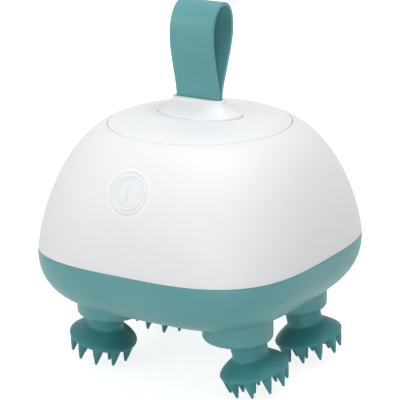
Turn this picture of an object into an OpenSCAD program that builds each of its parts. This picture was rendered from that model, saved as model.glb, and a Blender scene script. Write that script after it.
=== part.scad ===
// Domed pet massager: a white dome on a teal base with four tilted kneading heads,
// a power button on the front, a charging port at the back and a strap loop on top.
// +Z is up, the button faces -Y, and the pin tips stand on the plane Z = 0.

/* [Body] */
// Width and depth of the body at the joint line of the two shells
body_w = 100; // [98:0.5:104]
// Height of the dome's crown above the joint line
dome_h = 44.4; // [43:0.2:48]
// Depth of the lower shell below the joint line
bowl_h = 22.3; // [21.8:0.1:24]
// Wall of both shells
wall = 2.2; // [1.8:0.1:2.6]
// Corner squareness of the body's outline at the joint line (2 is a circle)
plan_side = 3.27; // [3:0.01:3.6]
// How late the dome's side turns inwards
dome_square = 4.95; // [4.5:0.05:5.5]
// How fast the dome's crown falls away
dome_sweep = 1.71; // [1.6:0.01:1.9]

/* [Cap and strap] */
// Diameter of the cap that closes the dome
cap_d = 63.6; // [60:0.2:66]
// Length of the strap mount's oval foot
foot_l = 32; // [28:0.5:36]
// Width of the strap mount's oval foot
foot_w = 20; // [17:0.5:24]
// Height of the strap mount above the crown
mount_h = 5.5; // [4.5:0.1:7]
// Wall of the strap mount round its slot
mount_wall = 1.35; // [1.1:0.05:1.8]
// Width of the strap
strap_w = 17; // [14:0.5:19]
// Thickness of the strap
strap_t = 1.3; // [1:0.1:1.6]
// Height of the strap loop above its mount
loop_h = 33; // [28:0.5:40]
// Diameter of the pin that holds the strap's ends
strap_pin_d = 2.4; // [2:0.1:3]

/* [Massage heads] */
// Distance between the left and right head axes
head_span = 51.8; // [51:0.1:52.6]
// Diameter of the fixed collar round each head's hub
collar_d = 24.2; // [24:0.1:25]
// Height that each collar stands below the lower shell
collar_h = 4.5; // [4:0.1:6]
// Rounding of each collar's lower edge
collar_round = 1.7; // [1:0.1:1.8]
// Diameter of the turning hub inside the collar
hub_d = 20; // [19.9:0.02:20.2]
// Thickness of the turning hub
hub_t = 3.5; // [3:0.1:4]
// Lean of each head from the vertical
head_tilt = 13.5; // [11:0.5:15]
// Distance from the hub's axis to the middle of the neck
neck_offset = 3.2; // [3:0.1:3.5]
// Diameter of the head's neck
neck_d = 12.5; // [12:0.1:12.6]
// Length of the straight neck
neck_l = 5; // [4:0.1:6]
// Diameter of the head's disc
disc_d = 24.2; // [23:0.2:24.6]
// Height of the disc from the end of the neck to the pin face
disc_h = 6.6; // [6.2:0.1:8]
// Length of each kneading pin
pin_l = 6.4; // [5:0.1:7]
// Diameter of each pin at its root
pin_d = 3.7; // [3.2:0.1:3.8]
// Number of pins in the outer ring
outer_pins = 10; // [8:2:12]
// Number of pins in the inner ring
inner_pins = 7; // [4:1:8]

/* [Gears] */
// Module of the gears that turn the heads
gear_module = 0.8; // [0.79:0.005:0.81]
// Teeth on the central drive gear
drive_teeth = 36; // [36:1:36]
// Teeth on each head's gear
head_teeth = 44; // [44:1:44]
// Teeth on the idler's small gear
small_teeth = 12; // [12:1:13]
// Teeth on the idler's large gear
large_teeth = 54; // [50:1:56]
// Teeth on the motor's pinion
pinion_teeth = 10; // [10:1:12]
// Width of the gears that turn the heads
gear_w = 6; // [5:0.5:7]
// Diameter of each head's shaft
shaft_d = 5; // [4:0.2:5.4]
// Diameter of the fixed axles
axle_d = 3; // [2.5:0.1:3.4]

/* [Button] */
// Diameter of the power button
button_d = 14.2; // [14:0.2:16.4]
// Height of the button's middle above the joint line
button_z = 27.3; // [26:0.1:28.5]
// Travel of the button
button_travel = 0.6; // [0.3:0.05:0.7]
// Outer diameter of the light ring
ring_d = 11.4; // [10.5:0.1:12.4]
// Width of the light ring
ring_w = 1.2; // [1.2:0.05:2]

/* [Charging port] */
// Height of the port's middle above the joint line
port_z = 12; // [11.5:0.1:13]
// Width of the socket's mouth
mouth_w = 8.4; // [8.4:0.02:8.6]
// Height of the socket's mouth
mouth_h = 2.6; // [2.5:0.02:2.7]
// Width of the silicone cover
cover_w = 14.4; // [13.5:0.1:16]
// Height of the silicone cover
cover_h = 7.4; // [7:0.1:8]
// Thickness of the silicone cover
cover_t = 1.2; // [1:0.05:1.3]

/* [Inside] */
// Width of the motor
motor_w = 20.4; // [19:0.1:21]
// Depth of the motor across its flats
motor_flat = 15.4; // [14:0.1:16]
// Length of the motor's can
motor_l = 25; // [20:0.5:26]
// Diameter of the motor's shaft
motor_shaft_d = 2; // [1.8:0.1:2.3]
// Diameter of the battery cell
cell_d = 18.4; // [14:0.1:18.6]
// Length of the battery cell
cell_l = 65; // [50:0.5:65.5]
// Thickness of the gear plate
plate_t = 2.5; // [2:0.1:3]
// Thickness of the circuit boards
board_t = 1.6; // [1:0.1:1.6]
// Diameter of the case screws
screw_d = 3; // [2.5:0.1:3]

/* [Fits] */
// Gap between moving pieces that don't bear on each other
move_gap = 0.3; // [0.2:0.05:0.4]
// Radial clearance of a shaft in its bush
run_gap = 0.04; // [0.02:0.01:0.08]
// Gap between fixed pieces laid side by side
seat_gap = 0.15; // [0.1:0.05:0.2]
// Clearance between meshed teeth, along the pitch circle
backlash = 0.16; // [0.1:0.02:0.24]

/* [Hidden] */
$fn = 48;

white = [0.95, 0.955, 0.96];
teal = [0.37, 0.6, 0.6];
pale = [0.8, 0.86, 0.86];
steel = [0.72, 0.73, 0.75];
brass = [0.78, 0.66, 0.36];
nylon = [0.9, 0.88, 0.82];
black = [0.12, 0.12, 0.13];
green = [0.1, 0.4, 0.25];
red = [0.72, 0.14, 0.12];

// Outline of the body, as a rule that gives a width at each height
segs = 72;
dome_bands = 13;
bowl_bands = 9;
plan_top = 2;
plan_floor = 3.64;
bowl_square = 4.76;
bowl_sweep = 2.14;
floor_share = 0.985;
crown_share = 0.992;
cap_r = cap_d / 2;
cap_z = dome_h * pow(1 - pow(cap_d / body_w, dome_square), 1 / dome_sweep);

// Each head's axis, the side that its neck stands on at rest, and the turn of its pins
gear_reach = gear_module * (drive_teeth + head_teeth) / 2;
head_x = head_span / 2;
head_y = sqrt(gear_reach * gear_reach - head_x * head_x);
front_left = [-head_x, -head_y, 147.5, 12];
front_right = [head_x, -head_y, 9, -2];
rear_left = [-head_x, head_y, 136, 0];
rear_right = [head_x, head_y, 6, -7];
lean_turn = 28.5;

// Hollow under the neck, rim under each disc, and the stub that the head is pushed on
hollow_r = 2;
hollow_turn = 55;
rim_in = 0.2;
rim_h = 0.5;
pin_tip = 0.5;
ring_gap = 0.3;
inner_turn = -6;
stub_d = 8;
stub_l = 6.5;

// Heights, all counted from the joint line until the last step
collar_z = -bowl_h - collar_h;
hub_z = collar_z + 0.4;
tip_drop = (neck_l + disc_h + pin_l) * cos(head_tilt) + outer_ring_r() * sin(head_tilt);
joint_z = tip_drop - hub_z;
floor_z = -bowl_h * floor_share + wall;
collar_top = floor_z + 2.6;
web_z = hub_z + hub_t + move_gap;
seal_h = 2.4;
seal_d = 2 * shaft_d;
seal_z = web_z;
bearing_h = 6;
bearing_d = shaft_d + 3;
housing_d = bearing_d + 2 * 2.5;
bearing_z = seal_z + seal_h + 0.4;
housing_top = bearing_z + bearing_h;
gear_z = -9;
gear_hub_d = shaft_d + 5;
drive_over = 0.5;
large_z = gear_z + gear_w + drive_over + 1.5;
large_w = 2.6;
pinion_w = 3.7;
plate_z = 4;
plate_top = plate_z + plate_t;
plate_inset = 6.5;
bush_h = 5;
motor_z = plate_top;
shaft_top = plate_z + bush_h - 0.4;

// Gear train
tooth_angle = 25;
tooth_tip = 0.8;
tooth_root = 1.1;
idler_y = gear_module * (drive_teeth + small_teeth) / 2;
large_module = 2 * idler_y / (large_teeth + pinion_teeth);
drive_hub_d = axle_d + 6;
drive_hole_d = 4.4;
drive_hole_r = (drive_hub_d + gear_module * drive_teeth) / 4 - 0.4;
spacer_h = 0.7;
pinion_z = large_z - 0.3;
axle_root = 8;
axle_z = gear_z - axle_root;
axle_boss_d = axle_d + 6;
axle_boss_top = gear_z - 1;
idler_hub_d = axle_d + 2.6;
axle_top = gear_z + gear_w + drive_over + 0.3;
idler_top = plate_z + plate_t - 0.5;

// Case screws, in the free corners between the gears
screw_x = 12;
screw_inset = 13;
screw_y = body_w / 2 - screw_inset;
post_d = 7;
seat_d = 2 * screw_d + 5;
rib_t = 2;
screw_head_d = 2 * screw_d;
screw_head_h = 2;
screw_seat = -14;
boss_top = plate_top + 6.6;
screw_l = boss_top - 1.2 - screw_seat;
lip_h = 3;
lip_t = 1.2;
gasket_h = 1.5;
rib_h = 1.2;
rib_w = 2.4;

// Cap and strap mount
cap_t = 2.1;
cap_seat = cap_z - cap_t;
ledge_t = 2;
ledge_w = 3.2;
pocket_h = 1.4;
pocket_r = cap_r - ledge_w - 0.8;
foot_t = 0.9;
foot_edge = 0.5;
foot_z = dome_h - 0.5;
mount_z = dome_h + mount_h;
mount_bands = 8;
tail_gap = 0.1;
slot_l = strap_w + 0.4;
slot_w = 2 * strap_t + tail_gap + 0.2;
eye_d = strap_pin_d + 3;
eye_z = cap_seat + pocket_h - eye_d / 2 - 0.1;
lug_t = 2;
lug_x = strap_w / 2 + 0.6;
lug_w = 6;

// Strap loop: the middle line of the band, as points and handles in Y and Z
loop_front = -4.4 * loop_h / 33;
loop_back = 8.3 * loop_h / 33;
loop_crest = 2.7 * loop_h / 33;
tail_y = (strap_t + tail_gap) / 2;
loop_top = loop_h - strap_t / 2;
curve_steps = 9;

// Button stack, counted inwards from the dome's face
flange_d = button_d + 2.4;
flange_z = -3.6;
flange_t = 0.7;
seat_z = flange_z + 0.2;
stem_d = 4;
stem_end = -6.9;
plunger_d = 2.4;
plunger_end = -8.6;
switch_top = stem_end - button_travel - 0.1;
switch_h = 3.4;
switch_w = 6.2;
board_top = switch_top - switch_h;
board_w = 30;
board_h = 18;
board_post_x = 11.5;
board_post_d = 5;
ring_depth = 1;
bar_w = 0.9;
bar_h = 4.6;
small_screw_d = 1.8;
small_head_d = 3.4;
small_head_h = 1.1;
small_grip = 4;

// Port, counted inwards from the dome's face
recess_t = cover_t + 0.1;
cover_r = 1.6;
hinge_r = cover_t / 2;
hinge_drop = cover_h / 2 - hinge_r;
tongue_t = 1;
socket_wall = 0.35;
socket_l = 7.3;
socket_front = -wall - 0.5;
opening_gap = 0.45;
charge_board_w = 16;
charge_board_l = 9;
charge_board_y = -mouth_h / 2 - socket_wall - 0.05 - board_t / 2;
charge_board_z = socket_front - 0.5 - charge_board_l;
rail_w = 2;
rail_h = 3.2;
rail_grip = 0.8;

// Battery and motor
cell_y = 24.6;
cell_z = plate_z + bush_h + 0.6 + cell_d / 2;
saddle_x = 22;
saddle_t = 3;
cap_button_d = 5.5;
cap_button_h = 1;
saddle_side = 1.4;
cell_gap = 0.05;
can_boss_d = 6;
can_boss_h = 1;
motor_screw_x = 8;
motor_screw_d = 2;
motor_head_d = 2 * motor_screw_d - 0.2;
motor_head_h = 1.4;
motor_head_z = plate_z - 0.3;
motor_grip = plate_t + 1;

// Wires: from the cell's end and the motor's end to the back of the control board
lead_d = 1.3;
lead_sides = 8;
lead_up = [0.31, 0.2, 0.93];
lead_out = 1.8;
lead_end_y = -4;
battery_end_x = 11.5;
battery_mid = [[cell_l / 2 + 3, 18, 25], [27, 6, 28.5], [19, -7, 28]];
battery_route = concat(
    [[cell_l / 2, cell_y, cell_z], [cell_l / 2 + lead_out, cell_y, cell_z]],
    battery_mid,
    board_end(battery_end_x)
);
motor_end_x = 6;
motor_lead = [6.5, -4.5, motor_z + motor_l];
motor_mid = [[motor_end_x, -11, motor_z + motor_l + 0.6], [motor_end_x, -17, motor_z + motor_l - 3.5]];
motor_route = concat([motor_lead, motor_lead + [0, 0, lead_d]], motor_mid, board_end(motor_end_x));

function outer_ring_r() = disc_d / 2 - rim_in - 0.05 - pin_d / 2;
function inner_ring_r() = outer_ring_r() - pin_d - ring_gap;
function arch(a, b, c, t) = (1 - t) * (1 - t) * a + 2 * t * (1 - t) * b + t * t * c;
function side(v) = v < 0 ? -1 : 1;
function super(v, n) = side(v) * pow(abs(v), 2 / n);
function dome_r(z, inset = 0) =
    (body_w / 2 - inset) * pow(1 - pow(max(z, 0) / (dome_h - inset), dome_sweep), 1 / dome_square);
function bowl_r(z, inset = 0) =
    (body_w / 2 - inset) * pow(1 - pow(-min(z, 0) / (bowl_h - inset), bowl_sweep), 1 / bowl_square);
function plan_n(z) = z > 0
    ? plan_side + (plan_top - plan_side) * min(1, z / cap_z)
    : plan_side + (plan_floor - plan_side) * min(1, -z / bowl_h);
function wall_step(z, inset) = [z > 0 ? dome_r(z, inset) : bowl_r(z, inset), plan_n(z), z];
function dome_slope(z) = atan(dome_r(z - 0.5) - dome_r(z + 0.5));
function button_point(x, y, z) =
    let (turn = 90 - dome_slope(button_z))
    [x, y * cos(turn) - z * sin(turn) - dome_r(button_z), y * sin(turn) + z * cos(turn) + button_z];
function board_end(x) =
    let (back = board_top - board_t)
    [button_point(x, lead_end_y, back - 3 * lead_out), button_point(x, lead_end_y, back)];

// Closed skin over a stack of rings that all have the same number of points
module skin(rows) {
    sides = len(rows[0]);
    last = len(rows) - 1;
    walls = [
        for (j = [0 : last - 1])
            for (i = [0 : sides - 1])
                let (a = j * sides + i, b = j * sides + (i + 1) % sides)
                    each [[a, a + sides, b + sides], [a, b + sides, b]]
    ];
    first_lid = [for (i = [0 : sides - 1]) i];
    last_lid = [for (i = [sides - 1 : -1 : 0]) last * sides + i];
    polyhedron(points = [for (row = rows) each row], faces = concat([first_lid, last_lid], walls));
}

// One ring of a skin: a rounded outline with half sizes a and b, squareness n, height z
function ring(a, b, n, z) = [
    for (i = [0 : segs - 1])
        [a * super(cos(360 * i / segs), n), b * super(sin(360 * i / segs), n), z]
];

// Solid through a stack of round rings, each given as [radius, squareness, height]
module loft(steps) {
    skin([for (step = steps) ring(step[0], step[0], step[1], step[2])]);
}

// The dome's solid from below the joint line up to a height
module dome(inset, top, below = 0) {
    skirt = below > 0 ? [[dome_r(0, inset), plan_side, -below]] : [];
    steps = [for (i = [0 : dome_bands]) wall_step(top * sin(90 * i / dome_bands), inset)];
    loft(concat(skirt, steps));
}

// The bowl's solid from its floor up to the joint line, or past it
module bowl(inset, above = 0) {
    low = -(bowl_h - inset) * floor_share;
    steps = [for (i = [bowl_bands : -1 : 0]) wall_step(low * sin(90 * i / bowl_bands), inset)];
    brim = above > 0 ? [[bowl_r(0, inset), plan_side, above]] : [];
    loft(concat(steps, brim));
}

// Band of a given thickness that follows the inside of the shells' wall
module band(inset, thickness, low, high) {
    difference() {
        loft([wall_step(low, inset), wall_step((low + high) / 2, inset), wall_step(high, inset)]);
        loft([wall_step(low - 0.5, inset + thickness), wall_step(high + 0.5, inset + thickness)]);
    }
}

module lift() {
    translate([0, 0, joint_z])
        children();
}

module at_each_screw() {
    for (x = [-1, 1], y = [-1, 1])
        translate([x * screw_x, y * screw_y, 0])
            children();
}

module at_each_head() {
    for (place = [front_left, front_right, rear_left, rear_right])
        translate([place[0], place[1], 0])
            children();
}

// Frames of the button and the port: their local +Z leaves the dome at a right angle
module at_button() {
    translate([0, -dome_r(button_z), button_z])
        rotate([90 - dome_slope(button_z), 0, 0])
            children();
}

module at_port() {
    translate([0, dome_r(port_z), port_z])
        rotate([dome_slope(port_z) - 90, 0, 0])
            children();
}

module rounded_plate(w, h, r, t) {
    linear_extrude(t) {
        square([w - 2 * r, h], center = true);
        square([w, h - 2 * r], center = true);
        for (x = [-1, 1], y = [-1, 1])
            translate([x * (w / 2 - r), y * (h / 2 - r)])
                circle(r);
    }
}

module tube(outer, inner, h) {
    difference() {
        cylinder(d = outer, h = h);
        translate([0, 0, -1])
            cylinder(d = inner, h = h + 2);
    }
}

// Screw that enters along +Z, with a cross recess in its head
module screw(d, head_d, head_h, l) {
    difference() {
        union() {
            cylinder(d = head_d, h = head_h);
            cylinder(d = d, h = head_h + l);
        }
        for (turn = [0, 90])
            rotate([0, 0, turn])
                cube([head_d * 0.6, head_d * 0.16, head_h], center = true);
    }
}

// What stands inside the top shell's cavity
module shell_ribs() {
    difference() {
        translate([0, 0, cap_seat - ledge_t])
            cylinder(r = cap_r + 6, h = ledge_t);
        translate([0, 0, cap_seat - ledge_t - 1])
            cylinder(r = cap_r - ledge_w, h = ledge_t + 2);
    }
    band(wall - 1, rib_w + 1, lip_h + gasket_h, lip_h + gasket_h + rib_h);
    at_each_screw()
        translate([0, 0, plate_top])
            cylinder(d = post_d, h = boss_top - plate_top);
    for (x = [-1, 1], y = [-1, 1])
        translate([x * screw_x - rib_t / 2, y > 0 ? screw_y : -body_w / 2, plate_top])
            cube([rib_t, body_w / 2 - screw_y, boss_top - plate_top]);
    for (x = [-1, 1])
        at_button()
            translate([x * board_post_x, 0, board_top])
                cylinder(d = board_post_d, h = -board_top);
    for (x = [-1, 1])
        at_port()
            translate([x * (charge_board_w / 2 + rail_w / 2 - rail_grip), charge_board_y, 0])
                difference() {
                    translate([-rail_w / 2, -rail_h / 2, charge_board_z])
                        cube([rail_w, rail_h, -charge_board_z]);
                    translate([-x * rail_w / 2 - rail_grip - 0.1, -board_t / 2 - 0.05, charge_board_z - 1])
                        cube([2 * rail_grip + 0.2, board_t + 0.1, charge_board_l + 1.1]);
                }
}

module top_shell() color(white) lift() difference() {
    dome(0, cap_z + 0.6);
    difference() {
        dome(wall, (dome_h - wall) * crown_share, 1);
        shell_ribs();
    }
    translate([0, 0, cap_seat])
        cylinder(r = cap_r, h = dome_h);
    at_button() {
        translate([0, 0, seat_z - 1])
            cylinder(d = button_d + 2 * seat_gap, h = 9);
        translate([0, 0, board_top + 4])
            cylinder(d = flange_d + 2 * move_gap, h = seat_z - board_top - 4);
        for (x = [-1, 1])
            translate([x * board_post_x, 0, board_top - 1])
                cylinder(d = small_screw_d, h = small_grip + 2);
    }
    at_port() {
        translate([0, 0, -recess_t])
            rounded_plate(cover_w + 2 * seat_gap, cover_h + 2 * seat_gap, cover_r, 5);
        translate([0, 0, -wall - 1])
            cube([mouth_w + 2 * opening_gap, mouth_h + 2 * opening_gap, 2 * wall + 2], center = true);
    }
    at_each_screw()
        translate([0, 0, plate_top - 1])
            cylinder(d = screw_d, h = screw_seat + screw_l - plate_top + 1.4);
}

module cap_lug() {
    translate([0, 0, eye_z])
        rotate([0, 90, 0])
            difference() {
                union() {
                    cylinder(d = lug_w, h = lug_t);
                    translate([-lug_w / 2 - 2, -lug_w / 2, 0])
                        cube([lug_w / 2 + 2, lug_w, lug_t]);
                }
                translate([0, 0, -1])
                    cylinder(d = strap_pin_d, h = lug_t + 2);
            }
}

module slot_cut(low, high) {
    translate([0, 0, low])
        rounded_plate(slot_l, slot_w, 0.35, high - low);
}

module top_cap() color(white) lift() difference() {
    union() {
        difference() {
            intersection() {
                dome(0, dome_h * crown_share);
                translate([0, 0, cap_seat])
                    cylinder(r = cap_r - seat_gap, h = dome_h);
            }
            translate([0, 0, cap_seat - 1])
                cylinder(r = pocket_r, h = pocket_h + 1);
        }
        translate([lug_x, 0, 0])
            cap_lug();
        translate([-lug_x - lug_t, 0, 0])
            cap_lug();
    }
    slot_cut(cap_seat - 8, dome_h + 1);
    mount_foot(foot_z - dome_h - 0.2, seat_gap);
}

// Oval foot that sits in the cap's crown
module mount_foot(low, gap) {
    translate([0, 0, dome_h + low])
        scale([1, (foot_w + 2 * gap) / (foot_l + 2 * gap), 1])
            cylinder(d = foot_l + 2 * gap, h = foot_t - low);
}

// The mount's foot: an oval plate with a rounded upper edge
module foot_plate() {
    steps = 4;
    rise = [
        for (k = [0 : steps])
            let (a = 90 * k / steps, inset = foot_edge * (1 - cos(a)))
                ring(foot_l / 2 - inset, foot_w / 2 - inset, 2, foot_t - foot_edge * (1 - sin(a)))
    ];
    translate([0, 0, dome_h])
        skin(concat([ring(foot_l / 2, foot_w / 2, 2, foot_z - dome_h)], rise));
}

// Ring of the mount's flare: an oval that turns into the slot's outline as it rises
function flare_ring(f) =
    let (
        half_l = slot_l / 2 + mount_wall,
        half_w = slot_w / 2 + mount_wall,
        ease = pow(1 - f, 2.4)
    )
    ring(
        half_l + (foot_l / 2 - 1 - half_l) * ease,
        half_w + (foot_w / 2 - 1 - half_w) * ease,
        2 + 3 * f,
        foot_t + (mount_h - foot_t) * f
    );

module strap_mount() color(white) lift() difference() {
    union() {
        foot_plate();
        translate([0, 0, dome_h])
            skin([for (j = [0 : mount_bands]) flare_ring(j / mount_bands)]);
    }
    slot_cut(dome_h - 5, mount_z + 1);
}

function bezier(a, b, c, d, t) =
    pow(1 - t, 3) * a + 3 * pow(1 - t, 2) * t * b + 3 * (1 - t) * t * t * c + pow(t, 3) * d;
function curve(a, b, c, d) = [for (i = [0 : curve_steps - 1]) bezier(a, b, c, d, i / curve_steps)];
function loop_line() =
    let (
        front = [loop_front, loop_h * 0.65],
        crest = [loop_crest, loop_top],
        back = [loop_back, loop_h * 0.74]
    )
    concat(
        [[-tail_y, eye_z - mount_z]],
        curve([-tail_y, 0], [-tail_y - 0.2, loop_h * 0.2], [loop_front, loop_h * 0.42], front),
        curve(front, [loop_front, loop_h * 0.86], [loop_crest - 3.6, loop_top], crest),
        curve(crest, [loop_crest + 3.4, loop_top], [loop_back, loop_h * 0.9], back),
        curve(back, [loop_back, loop_h * 0.5], [tail_y + 0.4, loop_h * 0.2], [tail_y, 0]),
        [[tail_y, 0], [tail_y, eye_z - mount_z]]
    );
function unit(v) = v / norm(v);
function line_normal(line, i) =
    let (
        before = line[max(0, i - 1)],
        after = line[min(len(line) - 1, i + 1)],
        along = unit(after - before)
    )
    [-along[1], along[0]];
function line_beside(line, gap) = [for (i = [0 : len(line) - 1]) line[i] + gap * line_normal(line, i)];
function backwards(list) = [for (i = [len(list) - 1 : -1 : 0]) list[i]];

module strap() color(teal) lift() translate([0, 0, mount_z]) {
    line = loop_line();
    outline = concat(line_beside(line, strap_t / 2), backwards(line_beside(line, -strap_t / 2)));
    difference() {
        union() {
            translate([-strap_w / 2, 0, 0])
                rotate([90, 0, 90])
                    linear_extrude(strap_w)
                        polygon(outline);
            translate([-strap_w / 2, 0, eye_z - mount_z])
                rotate([0, 90, 0])
                    cylinder(d = eye_d, h = strap_w);
        }
        translate([-strap_w, 0, eye_z - mount_z])
            rotate([0, 90, 0])
                cylinder(d = strap_pin_d, h = 2 * strap_w);
    }
}

module strap_pin() color(steel) lift()
    translate([-lug_x - lug_t, 0, eye_z])
        rotate([0, 90, 0])
            cylinder(d = strap_pin_d, h = 2 * (lug_x + lug_t));

module light_shape(low, high, gap) {
    translate([0, 0, low])
        difference() {
            cylinder(d = ring_d + 2 * gap, h = high - low);
            translate([0, 0, -1])
                cylinder(d = ring_d - 2 * ring_w - 2 * gap, h = high - low + 2);
        }
    translate([0, 0, (low + high) / 2])
        cube([bar_w + 2 * gap, bar_h + 2 * gap, high - low], center = true);
}

module power_button() color(white) lift() difference() {
    intersection() {
        dome(0, cap_z);
        at_button() {
            translate([0, 0, flange_z])
                cylinder(d = button_d, h = 9);
            translate([0, 0, flange_z - flange_t])
                cylinder(d = flange_d, h = flange_t);
            translate([0, 0, stem_end])
                cylinder(d = stem_d, h = flange_z - stem_end);
        }
    }
    at_button()
        light_shape(-ring_depth - 0.4, 9, 0);
}

module button_light() color(pale) lift() intersection() {
    dome(0, cap_z);
    at_button()
        light_shape(-ring_depth - 0.4, 9, -0.02);
}

module switch_plunger() color(black) lift() at_button()
    translate([0, 0, plunger_end])
        cylinder(d = plunger_d, h = stem_end - plunger_end);

module power_switch() color(black) lift() at_button() difference() {
    translate([-switch_w / 2, -switch_w / 2, board_top])
        cube([switch_w, switch_w, switch_h]);
    translate([0, 0, plunger_end - button_travel - 0.1])
        cylinder(d = plunger_d + 2 * run_gap, h = 9);
}

module control_board() color(green) lift() at_button() difference() {
    translate([0, 0, board_top - board_t])
        rounded_plate(board_w, board_h, 1.5, board_t);
    for (x = [-1, 1])
        translate([x * board_post_x, 0, board_top - board_t - 1])
            cylinder(d = small_screw_d + 0.4, h = board_t + 2);
}

module board_screws() color(steel) lift()
    for (x = [-1, 1])
        at_button()
            translate([x * board_post_x, 0, board_top - board_t - small_head_h])
                screw(small_screw_d, small_head_d, small_head_h, board_t + small_grip);

module port_cover() color(teal) lift() at_port() {
    translate([0, -hinge_r / 2, -cover_t])
        rounded_plate(cover_w, cover_h - hinge_r, cover_r - seat_gap, cover_t);
    translate([-cover_w / 2 + 1, hinge_drop, -hinge_r])
        rotate([0, 90, 0])
            cylinder(d = cover_t, h = cover_w - 2);
    translate([0, 0, -cover_t - tongue_t / 2])
        cube([mouth_w - 0.6, mouth_h - 0.2, tongue_t + 0.02], center = true);
}

module charging_socket() color(steel) lift() at_port() difference() {
    translate([0, 0, socket_front - socket_l])
        rounded_plate(mouth_w + 2 * socket_wall, mouth_h + 2 * socket_wall, 1.2, socket_l);
    difference() {
        translate([0, 0, socket_front - socket_l + 1])
            rounded_plate(mouth_w, mouth_h, 0.9, socket_l);
        translate([-mouth_w * 0.39, -0.35, socket_front - socket_l])
            cube([mouth_w * 0.78, 0.7, socket_l - 1]);
    }
}

module charging_board() color(green) lift() at_port()
    translate([-charge_board_w / 2, charge_board_y - board_t / 2, charge_board_z])
        cube([charge_board_w, board_t, charge_board_l]);

// Outer body of a head's collar, with its lower edge rounded and a wall up into the bowl
module collar_solid() {
    r = collar_d / 2;
    steps = 6;
    arc = [
        for (k = [0 : steps])
            let (a = 90 * k / steps)
                [r - collar_round * (1 - sin(a)), collar_z + collar_round * (1 - cos(a))]
    ];
    top = [[r, collar_top], [r - wall, collar_top], [r - wall, floor_z], [0, floor_z]];
    rotate_extrude()
        polygon(concat([[0, collar_z]], arc, top));
}

module lower_shell() color(teal) lift() difference() {
    union() {
        difference() {
            bowl(0);
            bowl(wall, 1);
        }
        at_each_head() {
            collar_solid();
            translate([0, 0, web_z])
                cylinder(d = housing_d, h = housing_top - web_z);
        }
        intersection() {
            bowl(0, plate_z);
            at_each_screw()
                case_post();
        }
        for (y = [0, idler_y])
            translate([0, y, floor_z - 1])
                cylinder(d = axle_boss_d, h = axle_boss_top - floor_z + 0.4);
        band(wall + seat_gap, lip_t, -4, lip_h);
        band(wall - 0.5, lip_t + seat_gap + 0.5, -4, -2);
    }
    at_each_head() {
        translate([0, 0, collar_z - 1])
            cylinder(d = hub_d + 2 * move_gap, h = web_z - collar_z + 1);
        translate([0, 0, seal_z - 1])
            cylinder(d = seal_d, h = seal_h + 1);
        translate([0, 0, seal_z])
            cylinder(d = shaft_d + 1, h = 9);
        translate([0, 0, bearing_z])
            cylinder(d = bearing_d, h = bearing_h + 1);
    }
    at_each_screw() {
        translate([0, 0, -bowl_h - 1])
            cylinder(d = screw_head_d + 0.6, h = bowl_h + 1 + screw_seat);
        cylinder(d = screw_d + 0.4, h = 80, center = true);
    }
    for (y = [0, idler_y])
        translate([0, y, axle_z])
            cylinder(d = axle_d, h = gear_z - axle_z);
}

// Post that carries the gear plate, wider round the screw's head
module case_post() {
    translate([0, 0, -bowl_h])
        cylinder(d = post_d, h = bowl_h + plate_z);
    translate([0, 0, -bowl_h])
        cylinder(d = seat_d, h = bowl_h + screw_seat + 2);
}

module shell_gasket() color(black) lift()
    band(wall + seat_gap, lip_t, lip_h, lip_h + gasket_h);

module case_screws() color(steel) lift() at_each_screw()
    translate([0, 0, screw_seat - screw_head_h])
        screw(screw_d, screw_head_d, screw_head_h, screw_l);

module gear_plate() color(nylon) lift() difference() {
    union() {
        loft([
            [body_w / 2 - plate_inset, plan_side, plate_z],
            [body_w / 2 - plate_inset, plan_side, plate_top]
        ]);
        at_each_head()
            translate([0, 0, plate_z])
                cylinder(d = housing_d, h = bush_h);
        for (x = [-1, 1])
            difference() {
                translate([x * saddle_x - saddle_t / 2, cell_y - cell_d / 2 - saddle_side, plate_z + 1])
                    cube([saddle_t, cell_d + 2 * saddle_side, cell_z - plate_z - 1]);
                translate([x * saddle_x - saddle_t, cell_y, cell_z])
                    rotate([0, 90, 0])
                        cylinder(d = cell_d + 2 * cell_gap, h = 2 * saddle_t);
            }
    }
    at_each_head()
        translate([0, 0, plate_z - 1])
            cylinder(d = bearing_d, h = bush_h + 2);
    at_each_screw()
        cylinder(d = screw_d + 0.4, h = 80, center = true);
    translate([0, 0, plate_z - 1])
        cylinder(d = can_boss_d, h = plate_t + 2);
    translate([0, idler_y, plate_z - 1])
        cylinder(d = axle_d, h = idler_top - plate_z + 1);
    for (x = [-1, 1])
        translate([x * motor_screw_x, 0, plate_z - 1]) {
            cylinder(d = motor_screw_d + 0.3, h = plate_t + 2);
            cylinder(d = motor_head_d + 0.2, h = motor_head_z + motor_head_h + 0.1 - plate_z + 1);
        }
}

module motor() color(steel) lift() translate([0, 0, motor_z]) difference() {
    union() {
        intersection() {
            cylinder(d = motor_w, h = motor_l);
            translate([-motor_w / 2, -motor_flat / 2, 0])
                cube([motor_w, motor_flat, motor_l]);
        }
        translate([0, 0, -can_boss_h])
            cylinder(d = can_boss_d, h = can_boss_h + 1);
        translate([0, 0, motor_l - 1])
            cylinder(d = can_boss_d, h = 2);
    }
    translate([0, 0, -can_boss_h - 1])
        cylinder(d = motor_shaft_d + 2 * run_gap, h = motor_l);
    for (x = [-1, 1])
        translate([x * motor_screw_x, 0, -1])
            cylinder(d = motor_screw_d, h = motor_grip + 0.5);
}

module motor_screws() color(steel) lift()
    for (x = [-1, 1])
        translate([x * motor_screw_x, 0, motor_head_z])
            screw(motor_screw_d, motor_head_d, motor_head_h, motor_grip);

module motor_shaft() color(steel) lift()
    translate([0, 0, pinion_z])
        cylinder(d = motor_shaft_d, h = motor_z + motor_l - 2 - large_z);

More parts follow.
